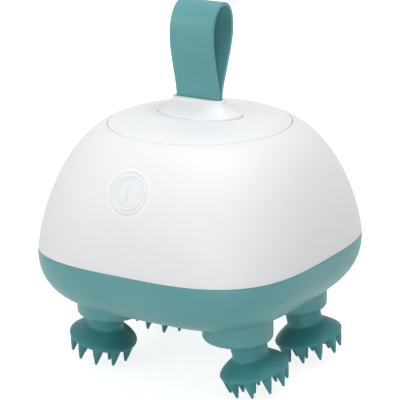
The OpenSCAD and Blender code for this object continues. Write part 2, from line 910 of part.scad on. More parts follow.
// Angle, from the middle of a tooth, of its flank at a radius
function involute(a) = tan(a) * 180 / PI - a;
function flank_angle(teeth, size, r) =
    let (
        pitch_r = size * teeth / 2,
        base_r = pitch_r * cos(tooth_angle),
        half = 90 / teeth - backlash / 2 / pitch_r * 180 / PI
    )
    half + involute(tooth_angle) - involute(acos(min(1, base_r / r)));

module gear_outline(teeth, size) {
    pitch_r = size * teeth / 2;
    base_r = pitch_r * cos(tooth_angle);
    root_r = pitch_r - tooth_root * size;
    tip_r = pitch_r + tooth_tip * size;
    low_r = max(root_r, base_r);
    radii = [root_r, low_r + 0.02, (low_r + pitch_r) / 2, pitch_r, (pitch_r + tip_r) / 2, tip_r];
    last = len(radii) - 1;
    polygon([
        for (t = [0 : teeth - 1])
            let (mid = 360 * t / teeth)
                each concat(
                    [for (k = [0 : last]) point(radii[k], mid - flank_angle(teeth, size, radii[k]))],
                    [for (k = [last : -1 : 0]) point(radii[k], mid + flank_angle(teeth, size, radii[k]))]
                )
    ]);
}
function point(r, a) = [r * cos(a), r * sin(a)];

// Turn that puts a follower's gap against the leader's tooth, in the follower's direction
function mesh_turn(direction, leader, follower, leader_turn = 0) =
    direction + 180 - 180 / follower + (direction - leader_turn) * leader / follower;

module motor_pinion() color(brass) lift()
    translate([0, 0, pinion_z])
        rotate([0, 0, mesh_turn(-90, large_teeth, pinion_teeth, idler_turn())])
            difference() {
                linear_extrude(pinion_w)
                    gear_outline(pinion_teeth, large_module);
                translate([0, 0, -1])
                    cylinder(d = motor_shaft_d, h = pinion_w + 2);
            }

function idler_turn() = mesh_turn(90, drive_teeth, small_teeth);

module idler_gear() color(nylon) lift()
    translate([0, idler_y, 0])
        rotate([0, 0, idler_turn()])
            difference() {
                union() {
                    translate([0, 0, gear_z])
                        linear_extrude(large_z + 0.5 - gear_z)
                            gear_outline(small_teeth, gear_module);
                    translate([0, 0, large_z])
                        linear_extrude(large_w)
                            gear_outline(large_teeth, large_module);
                    translate([0, 0, gear_z - spacer_h])
                        cylinder(d = idler_hub_d, h = plate_z - move_gap - gear_z + spacer_h);
                }
                translate([0, 0, gear_z - 2])
                    cylinder(d = axle_d + 2 * run_gap, h = 30);
            }

module idler_axle() color(steel) lift()
    translate([0, idler_y, axle_z])
        cylinder(d = axle_d, h = idler_top - axle_z);

module drive_gear() color(nylon) lift() difference() {
    union() {
        translate([0, 0, gear_z])
            linear_extrude(gear_w)
                gear_outline(drive_teeth, gear_module);
        translate([0, 0, gear_z - spacer_h])
            cylinder(d = drive_hub_d, h = gear_w + drive_over + spacer_h);
    }
    translate([0, 0, gear_z - 2])
        cylinder(d = axle_d + 2 * run_gap, h = 20);
    for (k = [0 : 5])
        rotate([0, 0, 60 * k + 30])
            translate([drive_hole_r, 0, gear_z - 1])
                cylinder(d = drive_hole_d, h = gear_w + 2);
}

module drive_axle() color(steel) lift()
    translate([0, 0, axle_z])
        cylinder(d = axle_d, h = axle_top - axle_z);

module battery_cell() color(red) lift() translate([0, cell_y, cell_z]) rotate([0, 90, 0]) {
    translate([0, 0, -cell_l / 2])
        cylinder(d = cell_d, h = cell_l - cap_button_h);
    translate([0, 0, cell_l / 2 - cap_button_h])
        cylinder(d = cap_button_d, h = cap_button_h);
}

// Round lead along a route's points
function lead_ring(route, i) =
    let (
        ahead = route[min(len(route) - 1, i + 1)],
        along = unit(ahead - route[max(0, i - 1)]),
        across = unit(cross(along, lead_up)),
        other = cross(along, across)
    )
    [
        for (k = [0 : lead_sides - 1])
            let (a = 360 * k / lead_sides)
                route[i] + lead_d / 2 * (cos(a) * across + sin(a) * other)
    ];

module lead(route) {
    skin([for (i = [0 : len(route) - 1]) lead_ring(route, i)]);
}

module battery_leads() color(red) lift() lead(battery_route);

module motor_leads() color(black) lift() lead(motor_route);

// One kneading head in its own frame: the neck starts at the origin and grows towards -Z
module kneading_head() {
    neck_r = neck_d / 2;
    disc_r = disc_d / 2;
    face_z = -neck_l - disc_h;
    brim_z = face_z + rim_h;
    steps = 8;
    hollow = [
        for (k = [0 : steps])
            let (a = hollow_turn * k / steps)
                [neck_r + hollow_r * (1 - cos(a)), -neck_l - hollow_r * sin(a)]
    ];
    start = hollow[steps];
    elbow = [disc_r, start[1] - (disc_r - start[0]) / tan(hollow_turn)];
    bell = [for (k = [1 : steps]) arch(start, elbow, [disc_r, brim_z], k / steps)];
    under = [
        for (k = [1 : 3])
            [disc_r - rim_in * (1 - cos(30 * k)), brim_z - rim_h * sin(30 * k)]
    ];
    rotate_extrude()
        polygon(concat([[0, 3], [neck_r, 3]], hollow, bell, under, [[0, face_z]]));
    for (k = [0 : outer_pins - 1])
        rotate([0, 0, 360 * k / outer_pins])
            translate([outer_ring_r(), 0, face_z])
                pin();
    for (k = [0 : inner_pins - 1])
        rotate([0, 0, 360 * k / inner_pins + inner_turn])
            translate([inner_ring_r(), 0, face_z])
                pin();
    translate([0, 0, face_z])
        pin();
}

// A kneading pin: a cone with a round end, rooted inside the rim
module pin() {
    r = pin_d / 2;
    rotate_extrude($fn = 24)
        polygon([
            [0, rim_h], [r, rim_h], [r, 0],
            [pin_tip, pin_tip - pin_l], [0.7 * pin_tip, 0.3 * pin_tip - pin_l], [0, -pin_l]
        ]);
}

// Puts a head's neck beside its axis, and leans its pin end away from there
module lean(place) {
    translate([place[0], place[1], hub_z])
        rotate([0, 0, place[2]])
            translate([neck_offset, 0, 0])
                rotate([0, 0, lean_turn])
                    rotate([0, -head_tilt, 0])
                        children();
}

module head(place) color(teal) lift() difference() {
    lean(place)
        rotate([0, 0, place[3]])
            kneading_head();
    translate([place[0], place[1], hub_z])
        cylinder(r = collar_d, h = 20);
    lean(place)
        translate([0, 0, -stub_l])
            cylinder(d = stub_d, h = 30);
}

module hub(place) color(teal) lift() difference() {
    union() {
        translate([place[0], place[1], hub_z])
            cylinder(d = hub_d, h = hub_t);
        lean(place)
            translate([0, 0, -stub_l])
                cylinder(d = stub_d, h = stub_l + 1.5);
    }
    translate([place[0], place[1], hub_z + 1])
        cylinder(d = shaft_d, h = 20);
}

module shaft(place) color(steel) lift()
    translate([place[0], place[1], hub_z + 1])
        cylinder(d = shaft_d, h = shaft_top - hub_z - 1);

function head_gear_turn(place) = mesh_turn(atan2(place[1], place[0]), drive_teeth, head_teeth);

module head_gear(place) color(nylon) lift() translate([place[0], place[1], 0]) difference() {
    union() {
        rotate([0, 0, head_gear_turn(place)])
            translate([0, 0, gear_z])
                linear_extrude(gear_w)
                    gear_outline(head_teeth, gear_module);
        translate([0, 0, housing_top + move_gap])
            cylinder(d = gear_hub_d, h = plate_z - 2 * move_gap - housing_top);
    }
    translate([0, 0, gear_z - 20])
        cylinder(d = shaft_d, h = 60);
}

module bearing(place) color(brass) lift()
    translate([place[0], place[1], bearing_z])
        tube(bearing_d, shaft_d + 2 * run_gap, bearing_h);

module bush(place) color(brass) lift()
    translate([place[0], place[1], plate_z])
        tube(bearing_d, shaft_d + 2 * run_gap, bush_h);

module seal(place) color(black) lift()
    translate([place[0], place[1], seal_z])
        tube(seal_d, shaft_d + 2 * run_gap, seal_h);

top_shell();
top_cap();
strap_mount();
strap();
strap_pin();
power_button();
button_light();
switch_plunger();
power_switch();
control_board();
board_screws();
port_cover();
charging_socket();
charging_board();
lower_shell();
shell_gasket();
case_screws();
gear_plate();
motor();
motor_screws();
motor_shaft();
motor_pinion();
idler_gear();
idler_axle();
drive_gear();
drive_axle();
battery_cell();
battery_leads();
motor_leads();
head(front_left);  // front_left_head
head(front_right);  // front_right_head
head(rear_left);  // rear_left_head
head(rear_right);  // rear_right_head
hub(front_left);  // front_left_hub
hub(front_right);  // front_right_hub
hub(rear_left);  // rear_left_hub
hub(rear_right);  // rear_right_hub
shaft(front_left);  // front_left_shaft
shaft(front_right);  // front_right_shaft
shaft(rear_left);  // rear_left_shaft
shaft(rear_right);  // rear_right_shaft
head_gear(front_left);  // front_left_gear
head_gear(front_right);  // front_right_gear
head_gear(rear_left);  // rear_left_gear
head_gear(rear_right);  // rear_right_gear
bearing(front_left);  // front_left_bearing
bearing(front_right);  // front_right_bearing
bearing(rear_left);  // rear_left_bearing
bearing(rear_right);  // rear_right_bearing
bush(front_left);  // front_left_bush
bush(front_right);  // front_right_bush
bush(rear_left);  // rear_left_bush
bush(rear_right);  // rear_right_bush
seal(front_left);  // front_left_seal
seal(front_right);  // front_right_seal
seal(rear_left);  // rear_left_seal
seal(rear_right);  // rear_right_seal
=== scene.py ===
"""Finished pieces, materials and stage of a cordless kneading massager for pets."""

import math
from contextlib import contextmanager

import bpy
from mathutils import Matrix, Vector


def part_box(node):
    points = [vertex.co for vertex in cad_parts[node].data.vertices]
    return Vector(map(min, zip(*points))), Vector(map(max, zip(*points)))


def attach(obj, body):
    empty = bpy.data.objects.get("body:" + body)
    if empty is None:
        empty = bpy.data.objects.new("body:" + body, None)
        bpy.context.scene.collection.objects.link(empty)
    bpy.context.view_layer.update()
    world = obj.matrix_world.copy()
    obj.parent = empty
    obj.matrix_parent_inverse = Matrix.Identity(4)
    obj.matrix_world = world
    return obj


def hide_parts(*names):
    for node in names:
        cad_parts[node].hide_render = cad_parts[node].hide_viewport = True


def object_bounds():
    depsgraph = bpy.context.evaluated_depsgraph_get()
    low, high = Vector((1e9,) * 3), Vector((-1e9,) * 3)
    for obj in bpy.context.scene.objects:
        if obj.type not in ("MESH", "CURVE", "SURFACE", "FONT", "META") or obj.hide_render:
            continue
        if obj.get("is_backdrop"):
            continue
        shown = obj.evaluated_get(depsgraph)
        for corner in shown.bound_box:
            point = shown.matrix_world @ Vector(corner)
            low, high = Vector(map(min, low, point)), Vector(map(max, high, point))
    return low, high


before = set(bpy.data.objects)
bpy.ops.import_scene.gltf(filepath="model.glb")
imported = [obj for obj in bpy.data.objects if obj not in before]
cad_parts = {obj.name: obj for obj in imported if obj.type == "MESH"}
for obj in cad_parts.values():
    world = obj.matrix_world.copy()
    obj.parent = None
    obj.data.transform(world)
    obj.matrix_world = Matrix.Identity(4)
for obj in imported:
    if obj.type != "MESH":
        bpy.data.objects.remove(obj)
CAD_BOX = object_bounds()

bl_info = {
    "name": "Pet Massager",
    "version": (1, 0, 0),
    "blender": (4, 5, 0),
    "location": "3D View > Sidebar > Massager",
    "description": "Domed kneading massager with a strap loop, built piece by piece",
    "category": "Add Mesh",
}

MM = 0.001
# The screw posts are the highest part of the lower shell
POST_TOP = 4 * MM
JOINT_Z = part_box("lower_shell")[1].z - POST_TOP
ROUND_STEPS = 256
HEAD_STEPS = 128
PIN_STEPS = 24


class MassagerSizes(bpy.types.PropertyGroup):
    """Sizes of the visible pieces"""

    body_width: bpy.props.FloatProperty(
        name="Body width", description="Width and depth at the joint of the two shells",
        default=100 * MM, subtype="DISTANCE", unit="LENGTH", precision=4)
    dome_height: bpy.props.FloatProperty(
        name="Dome height", description="Height of the crown above the joint",
        default=44.4 * MM, subtype="DISTANCE", unit="LENGTH", precision=4)
    bowl_depth: bpy.props.FloatProperty(
        name="Bowl depth", description="Depth of the lower shell below the joint",
        default=22.3 * MM, subtype="DISTANCE", unit="LENGTH", precision=4)
    wall: bpy.props.FloatProperty(
        name="Wall", description="Wall of both shells",
        default=2.2 * MM, subtype="DISTANCE", unit="LENGTH", precision=4)
    cap_width: bpy.props.FloatProperty(
        name="Cap width", description="Diameter of the cap that closes the dome",
        default=63.6 * MM, subtype="DISTANCE", unit="LENGTH", precision=4)
    foot_length: bpy.props.FloatProperty(
        name="Foot length", description="Length of the strap mount's oval foot",
        default=32 * MM, subtype="DISTANCE", unit="LENGTH", precision=4)
    foot_width: bpy.props.FloatProperty(
        name="Foot width", description="Width of the strap mount's oval foot",
        default=20 * MM, subtype="DISTANCE", unit="LENGTH", precision=4)
    mount_height: bpy.props.FloatProperty(
        name="Mount height", description="Height of the strap mount above the crown",
        default=5.5 * MM, subtype="DISTANCE", unit="LENGTH", precision=4)
    mount_wall: bpy.props.FloatProperty(
        name="Mount wall", description="Wall of the strap mount round its slot",
        default=1.35 * MM, subtype="DISTANCE", unit="LENGTH", precision=5)
    strap_width: bpy.props.FloatProperty(
        name="Strap width", description="Width of the strap",
        default=17 * MM, subtype="DISTANCE", unit="LENGTH", precision=4)
    strap_thickness: bpy.props.FloatProperty(
        name="Strap thickness", description="Thickness of the strap",
        default=1.3 * MM, subtype="DISTANCE", unit="LENGTH", precision=4)
    loop_height: bpy.props.FloatProperty(
        name="Loop height", description="Height of the strap loop above its mount",
        default=33 * MM, subtype="DISTANCE", unit="LENGTH", precision=4)
    collar_width: bpy.props.FloatProperty(
        name="Collar width", description="Diameter of the fixed collar round each hub",
        default=24.2 * MM, subtype="DISTANCE", unit="LENGTH", precision=4)
    collar_height: bpy.props.FloatProperty(
        name="Collar height", description="How far each collar stands below the lower shell",
        default=4.5 * MM, subtype="DISTANCE", unit="LENGTH", precision=4)
    head_tilt: bpy.props.FloatProperty(
        name="Head tilt", description="Lean of each kneading head",
        default=math.radians(13.5), subtype="ANGLE", unit="ROTATION")
    disc_width: bpy.props.FloatProperty(
        name="Disc width", description="Diameter of each head's disc",
        default=24.2 * MM, subtype="DISTANCE", unit="LENGTH", precision=4)
    pin_length: bpy.props.FloatProperty(
        name="Pin length", description="Length of each kneading pin",
        default=6.4 * MM, subtype="DISTANCE", unit="LENGTH", precision=4)
    button_width: bpy.props.FloatProperty(
        name="Button width", description="Diameter of the power button",
        default=14.2 * MM, subtype="DISTANCE", unit="LENGTH", precision=4)
    ring_width: bpy.props.FloatProperty(
        name="Light ring width", description="Outer diameter of the light ring in the button",
        default=11.4 * MM, subtype="DISTANCE", unit="LENGTH", precision=4)
    cover_width: bpy.props.FloatProperty(
        name="Port cover width", description="Width of the charging port's cover",
        default=14.4 * MM, subtype="DISTANCE", unit="LENGTH", precision=4)


class MassagerColours(bpy.types.PropertyGroup):
    """Colours of the visible pieces and of the stage"""

    shell: bpy.props.FloatVectorProperty(
        name="Shell", description="Satin plastic of the dome",
        default=(0.84, 0.85, 0.865), size=3, min=0, max=1, subtype="COLOR")
    base: bpy.props.FloatVectorProperty(
        name="Base", description="Plastic of the lower shell",
        default=(0.09, 0.305, 0.315), size=3, min=0, max=1, subtype="COLOR")
    # Strap: the heads' silicone in a lighter copy, painted light for the strap's lit front.
    strap: bpy.props.FloatVectorProperty(
        name="Strap", description="Silicone of the strap",
        default=(0.085, 0.315, 0.325), size=3, min=0, max=1, subtype="COLOR")
    # Silicone: its own teal, darkened as painted shade for the heads and necks under the body; the port
    # cover shares it.
    silicone: bpy.props.FloatVectorProperty(
        name="Silicone", description="Heads and port cover",
        default=(0.038, 0.23, 0.24), size=3, min=0, max=1, subtype="COLOR")
    light: bpy.props.FloatVectorProperty(
        name="Button light", description="Ring and bar that light up in the button",
        default=(0.8, 0.815, 0.835), size=3, min=0, max=1, subtype="COLOR")
    floor: bpy.props.FloatVectorProperty(
        name="Floor", description="Floor and backdrop",
        default=(0.6, 0.6, 0.6), size=3, min=0, max=1, subtype="COLOR")


def sizes():
    return bpy.context.scene.massager_sizes


def colours():
    return bpy.context.scene.massager_colours


# Powers of the body's curves, in profile and in plan. Heights count from the joint line

DOME_SWEEP, DOME_SQUARE = 1.71, 4.95
BOWL_SWEEP, BOWL_SQUARE = 2.14, 4.76
PLAN_JOINT, PLAN_TOP, PLAN_FLOOR = 3.27, 2.0, 3.64
FLOOR_SHARE = 0.985

# Gaps, thicknesses, small sizes and places

SEAT_GAP = 0.15 * MM
BUTTON_GAP = 0.06 * MM
CAP_THICKNESS = 2.1 * MM
LEDGE_WIDTH = 3.2 * MM
LEDGE_THICKNESS = 2 * MM
FOOT_THICKNESS = 0.9 * MM
BUTTON_Z, PORT_Z = 27.3 * MM, 12 * MM
DRAPE_FLOOR = -2.5 * MM
PIN_HOLE_RADIUS = 1.2 * MM
EYELET_RADIUS = 2.7 * MM
BAR_HALF = (0.45 * MM, 2.3 * MM)
RING_WIDTH = 1.2 * MM
MOUTH_HALF = (4.65 * MM, 1.75 * MM)
RECESS_CORNER = 1.6 * MM
COVER_CORNER = RECESS_CORNER - SEAT_GAP


def dome_radius(z, inset=0.0):
    size = sizes()
    share = min(1, max(z, 0) / (size.dome_height - inset))
    return (size.body_width / 2 - inset) * (1 - share ** DOME_SWEEP) ** (1 / DOME_SQUARE)


def bowl_radius(z, inset=0.0):
    size = sizes()
    share = min(1, -min(z, 0) / (size.bowl_depth - inset))
    return (size.body_width / 2 - inset) * (1 - share ** BOWL_SWEEP) ** (1 / BOWL_SQUARE)


def wall_radius(z, inset=0.0):
    return dome_radius(z, inset) if z > 0 else bowl_radius(z, inset)


def cap_rim_height():
    size = sizes()
    share = 1 - (size.cap_width / size.body_width) ** DOME_SQUARE
    return size.dome_height * share ** (1 / DOME_SWEEP)


def squareness(z):
    if z > 0:
        return PLAN_JOINT + (PLAN_TOP - PLAN_JOINT) * min(1, z / cap_rim_height())
    return PLAN_JOINT + (PLAN_FLOOR - PLAN_JOINT) * min(1, -z / sizes().bowl_depth)


def dome_lean(z):
    return math.atan((dome_radius(z - MM / 2) - dome_radius(z + MM / 2)) / MM)


def button_frame():
    """Plane on the dome's front in which the power button lies, with Z outwards."""
    z = BUTTON_Z
    turn = Matrix.Rotation(math.radians(90) - dome_lean(z), 4, "X")
    return Matrix.Translation((0, -dome_radius(z), z)) @ turn


def port_frame():
    """Plane on the dome's back in which the charging port lies, with Z outwards."""
    z = PORT_Z
    turn = Matrix.Rotation(dome_lean(z) - math.radians(90), 4, "X")
    return Matrix.Translation((0, dome_radius(z), z)) @ turn


def dome_depth(place, x, y):
    """Height of the dome's face above a local frame's plane, along the frame's Z."""
    low, high = -14 * MM, 8 * MM
    for _ in range(36):
        middle = (low + high) / 2
        point = place @ Vector((x, y, middle))
        power = squareness(point.z)
        reach = (abs(point.x) ** power + abs(point.y) ** power) ** (1 / power)
        if reach > dome_radius(point.z):
            high = middle
        else:
            low = middle
    return low


# Modelling steps


def select_only(*pieces):
    bpy.ops.object.select_all(action="DESELECT")
    for piece in pieces:
        piece.select_set(True)
    bpy.context.view_layer.objects.active = pieces[0]


@contextmanager
def editing(piece, mode="VERT"):
    select_only(piece)
    bpy.ops.object.mode_set(mode="EDIT")
    bpy.ops.mesh.select_mode(type=mode)
    bpy.ops.mesh.select_all(action="SELECT")
    yield
    bpy.ops.object.mode_set(mode="OBJECT")


def drawn_line(name, points):
    """A line drawn point to point by extruding one vertex."""
    bpy.ops.object.select_all(action="DESELECT")
    bpy.ops.mesh.primitive_plane_add(size=MM)
    line = bpy.context.object
    line.name = name
    line.data.name = name
    with editing(line):
        bpy.ops.mesh.merge(type="CENTER")
        bpy.ops.transform.translate(value=points[0])
        for here, there in zip(points, points[1:]):
            step = Vector(there) - Vector(here)
            bpy.ops.mesh.extrude_region_move(TRANSFORM_OT_translate={"value": step})
    return line


def face_outwards(piece):
    with editing(piece):
        bpy.ops.mesh.remove_doubles(threshold=1e-6)
        bpy.ops.mesh.normals_make_consistent(inside=False)


def lathe(name, profile, steps=ROUND_STEPS, looped=False):
    """A turned solid. The profile's points are (radius, height)."""
    if looped:
        profile = list(profile) + [profile[0]]
    piece = drawn_line(name, [(r, 0, z) for r, z in profile])
    with editing(piece):
        bpy.ops.mesh.spin(steps=steps, angle=math.tau, center=(0, 0, 0), axis=(0, 0, 1))
    face_outwards(piece)
    return piece


def move_points(piece, rule):
    for vertex in piece.data.vertices:
        vertex.co = rule(vertex.co)
    piece.data.update()


def skinned(name, rings, looped=False):
    """A skin over a stack of rings with the same number of points in each."""
    steps = len(rings[0])
    profile = [((k + 1) * MM, k * MM) for k in range(len(rings))]
    if not looped:
        profile = [(0, 0)] + profile + [(0, profile[-1][1])]
    piece = lathe(name, profile, steps, looped)

    def on_ring(point):
        ring = rings[round(point.z / MM)]
        if math.hypot(point.x, point.y) < MM / 2:
            return sum((Vector(p) for p in ring), Vector()) / steps
        return Vector(ring[round(math.atan2(point.y, point.x) / math.tau * steps) % steps])

    move_points(piece, on_ring)
    face_outwards(piece)
    return piece


def curve(start, elbow, end, steps, first=0):
    """Points along a short curve that leaves towards its elbow."""
    for k in range(first, steps + 1):
        t = k / steps
        yield tuple(start * (1 - t) ** 2 + elbow * 2 * t * (1 - t) + end * t * t)


def softened(corners, steps=4):
    """A profile whose corners, given as (r, z, rounding), turn along a short curve."""
    points = []
    for index, corner in enumerate(corners):
        if len(corner) == 2:
            points.append(tuple(corner))
            continue
        here = Vector(corner[:2])
        before = Vector(corners[index - 1][:2]) - here
        after = Vector(corners[(index + 1) % len(corners)][:2]) - here
        start = here + before.normalized() * corner[2]
        end = here + after.normalized() * corner[2]
        points += curve(start, here, end, steps)
    return points


def oval_ring(half_x, half_y, power, z, steps):
    def reach(value):
        return math.copysign(abs(value) ** (2 / power), value)

    turns = [math.tau * i / steps for i in range(steps)]
    return [(half_x * reach(math.cos(a)), half_y * reach(math.sin(a)), z) for a in turns]


def plate_ring(half_x, half_y, corner, z, per_corner=8, per_side=6):
    """A rectangle with round corners, with points along its sides too."""
    ring = []
    corners = ((1, 1, 0), (-1, 1, 90), (-1, -1, 180), (1, -1, 270))
    for index, (side_x, side_y, start) in enumerate(corners):
        middle = (side_x * (half_x - corner), side_y * (half_y - corner))
        for k in range(per_corner + 1):
            a = math.radians(start + 90 * k / per_corner)
            ring.append((middle[0] + corner * math.cos(a), middle[1] + corner * math.sin(a), z))
        next_x, next_y, next_start = corners[(index + 1) % 4]
        a = math.radians(next_start)
        there = (next_x * (half_x - corner) + corner * math.cos(a),
                 next_y * (half_y - corner) + corner * math.sin(a))
        here = ring[-1]
        for k in range(1, per_side):
            t = k / per_side
            ring.append((here[0] * (1 - t) + there[0] * t, here[1] * (1 - t) + there[1] * t, z))
    return ring


def rounding(edge, steps, reach=90):
    """Insets and drops along a round edge, from its side up to its face."""
    for k in range(steps + 1):
        a = math.radians(reach * k / steps)
        yield edge * (1 - math.cos(a)), edge * (1 - math.sin(a))


def rod(name, radius, low, high):
    """A round bar along Z."""
    return spindle(name, (low, high), (radius,))


def spindle(name, heights, radii, steps=64):
    """A stepped round bar along Z. Each radius reaches from one height to the next."""
    profile = [(0, heights[0])]
    for k, radius in enumerate(radii):
        profile += [(radius, heights[k]), (radius, heights[k + 1])]
    return lathe(name, profile + [(0, heights[-1])], steps)


def cross_rod(name, radius, low, high, y, z):
    """A round bar along X."""
    turn = Matrix.Rotation(math.radians(90), 4, "Y")
    return put(rod(name, radius, low, high), Matrix.Translation((0, y, z)) @ turn)


def block(name, low, high):
    """A rectangular bar between two corners."""
    x, y = (high[0] - low[0]) / 2, (high[1] - low[1]) / 2
    rings = [[(x, y, z), (-x, y, z), (-x, -y, z), (x, -y, z)] for z in (low[2], high[2])]
    return shifted(skinned(name, rings), (high[0] + low[0]) / 2, (high[1] + low[1]) / 2)


def put(piece, place):
    """Moves a piece and leaves the move in its mesh."""
    piece.matrix_world = place
    select_only(piece)
    bpy.ops.object.transform_apply(location=True, rotation=True, scale=True)
    return piece


def shifted(piece, x, y):
    return put(piece, Matrix.Translation((x, y, 0)))


def copy_of(piece, name):
    copy = piece.copy()
    copy.data = piece.data.copy()
    copy.name = name
    copy.data.name = name
    bpy.context.collection.objects.link(copy)
    return copy


def joined(pieces):
    select_only(*pieces)
    bpy.ops.object.join()
    return pieces[0]


def combine(piece, other, way):
    """Joins, cuts or crosses a piece with another, which is used up."""
    modifier = piece.modifiers.new(way.lower(), "BOOLEAN")
    modifier.object = other
    modifier.operation = way
    modifier.solver = "EXACT"
    select_only(piece)
    bpy.ops.object.modifier_apply(modifier=modifier.name)
    bpy.data.objects.remove(other, do_unlink=True)
    return piece


def square_off(piece, keep_round=0.0):
    """Widens the turned body to its squarish outline, outside a radius that stays round."""

    def rule(point):
        radius = math.hypot(point.x, point.y)
        if radius <= keep_round:
            return point
        power = squareness(point.z)
        spread = (abs(point.x / radius) ** power + abs(point.y / radius) ** power) ** (-1 / power)
        return Vector((point.x * spread, point.y * spread, point.z))

    move_points(piece, rule)


def drape(piece, place, floor=DRAPE_FLOOR):
    """Lifts a local shape's face, above a local height, so that it follows the dome."""

    def rule(point):
        if point.z < floor:
            return point
        return Vector((point.x, point.y, point.z + dome_depth(place, point.x, point.y)))

    move_points(piece, rule)
    return piece


def smooth(piece, angle=32):
    select_only(piece)
    bpy.ops.object.shade_smooth_by_angle(angle=math.radians(angle))


def paint(piece, slot):
    piece.data.materials.clear()
    piece.data.materials.append(material(slot))


def dress(piece, body, slot, *nodes, look=None):
    """Gives a finished piece its place in the frame, its material and its body."""
    put(piece, Matrix.Translation((0, 0, JOINT_Z)))
    paint(piece, look or slot)
    smooth(piece)
    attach(piece, body)
    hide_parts(*nodes)


# Materials


class Finish:
    """A material whose colour, gloss and grain come from procedural nodes."""

    def __init__(self, name, **sockets):
        self.material = bpy.data.materials.new(name)
        self.material.use_nodes = True
        self.nodes = self.material.node_tree.nodes
        self.links = self.material.node_tree.links
        self.shader = self.nodes["Principled BSDF"]
        for socket, value in sockets.items():
            self.shader.inputs[socket.replace("_", " ")].default_value = value
        self.place = self.add("ShaderNodeTexCoord").outputs["Object"]

    def add(self, kind, inputs=None, **settings):
        node = self.nodes.new(kind)
        for key, value in settings.items():
            setattr(node, key, value)
        for socket, value in (inputs or {}).items():
            node.inputs[socket].default_value = value
        return node

    def join(self, source, target):
        self.links.new(source, target)

    def noise(self, scale, detail=4.0, rough=0.5, stretch=None):
        node = self.add("ShaderNodeTexNoise", {"Scale": scale, "Detail": detail, "Roughness": rough})
        self.join(self.stretched(stretch), node.inputs["Vector"])
        return node.outputs["Fac"]

    def stretched(self, stretch):
        if stretch is None:
            return self.place
        mapping = self.add("ShaderNodeMapping", {"Scale": stretch})
        self.join(self.place, mapping.inputs["Vector"])
        return mapping.outputs["Vector"]

    def ramp(self, factor, *stops):
        node = self.add("ShaderNodeValToRGB")
        line = node.color_ramp
        while len(line.elements) < len(stops):
            line.elements.new(0.5)
        for element, (position, colour) in zip(line.elements, stops):
            element.position = position
            element.color = (*colour, 1)
        self.join(factor, node.inputs["Fac"])
        return node.outputs["Color"]

    def spread(self, factor, low, high, from_low=0.3, from_high=0.7):
        limits = {"From Min": from_low, "From Max": from_high, "To Min": low, "To Max": high}
        node = self.add("ShaderNodeMapRange", limits)
        self.join(factor, node.inputs["Value"])
        return node.outputs["Result"]

    def blend(self, factor, first, second):
        node = self.add("ShaderNodeMix", data_type="RGBA")
        self.join(factor, node.inputs["Factor"])
        for source, socket in ((first, node.inputs[6]), (second, node.inputs[7])):
            if isinstance(source, tuple):
                socket.default_value = (*source, 1)
            else:
                self.join(source, socket)
        return node.outputs[2]

    def colour(self, source):
        self.join(source, self.shader.inputs["Base Color"])

    def gloss(self, source):
        self.join(source, self.shader.inputs["Roughness"])

    def grain(self, height, distance, strength=1.0, under=None):
        node = self.add("ShaderNodeBump", {"Strength": strength, "Distance": distance})
        self.join(height, node.inputs["Height"])
        if under:
            self.join(under, node.inputs["Normal"])
        self.join(node.outputs["Normal"], self.shader.inputs["Normal"])
        return node.outputs["Normal"]


def shade(colour, factor):
    return tuple(min(1, channel * factor) for channel in colour)


def moulded(name, tones, cloud, gloss, grain, **sockets):
    """A moulded material: two tones in a cloud, a gloss that drifts, and a fine grain.

    cloud is a noise's scale and detail. gloss adds the two limits of the roughness to
    them, and grain adds its depth in metres and its strength.
    """
    finish = Finish(name, **sockets)
    dark, light = tones
    finish.colour(finish.ramp(finish.noise(*cloud), (0.35, dark), (0.65, light)))
    finish.gloss(finish.spread(finish.noise(*gloss[:2]), *gloss[2:]))
    finish.grain(finish.noise(*grain[:2]), *grain[2:])
    return finish.material


def satin_white():
    """Dome plastic: fine spark-eroded grain, faint warm and cool drift, satin gloss, and a painted ring of
    light round the power button.
    """
    base = tuple(colours().shell)
    finish = Finish("satin_white_plastic", Specular_IOR_Level=0.45, Subsurface_Weight=0.06,
                    Subsurface_Scale=0.002)
    body = finish.ramp(finish.noise(28, 3), (0.35, shade(base, 0.985)), (0.65, base))
    # Painted light: the shell's colour turns a lighter white on a ring round the power button.
    finish.colour(finish.blend(painted_button_halo(finish), body, shade(base, 1.055)))
    finish.gloss(finish.spread(finish.noise(260, 4), 0.48, 0.56))
    finish.grain(finish.noise(5200, 2), 0.00001, 0.35)
    return finish.material


def painted_button_halo(finish):
    """Mask of a faint painted ring of light on the shell round the power button: 1 on the ring, 0 away from
    it.
    """
    place = Matrix.Translation((0, 0, JOINT_Z)) @ button_frame()
    middle, width = sizes().button_width / 2 + 0.75 * MM, 0.75 * MM
    along = finish.add("ShaderNodeVectorMath", {1: place.translation}, operation="SUBTRACT")
    finish.join(finish.place, along.inputs[0])
    outwards = place.to_3x3() @ Vector((0, 0, 1))
    across = finish.add("ShaderNodeVectorMath", {1: outwards}, operation="CROSS_PRODUCT")
    finish.join(along.outputs["Vector"], across.inputs[0])
    reach = finish.add("ShaderNodeVectorMath", operation="LENGTH")
    finish.join(across.outputs["Vector"], reach.inputs[0])
    off = finish.add("ShaderNodeMath", {1: middle}, operation="SUBTRACT")
    finish.join(reach.outputs["Value"], off.inputs[0])
    span = finish.add("ShaderNodeMath", operation="ABSOLUTE")
    finish.join(off.outputs[0], span.inputs[0])
    return finish.spread(span.outputs[0], 1, 0, 0, width)


def base_teal():
    """Lower shell plastic: satin, slightly cloudy pigment, fine grain."""
    base = tuple(colours().base)
    return moulded("teal_plastic_satin", (shade(base, 0.95), shade(base, 1.04)), (40, 4),
                   (300, 4, 0.42, 0.5), (4800, 2, 0.000012, 0.4), Specular_IOR_Level=0.6)


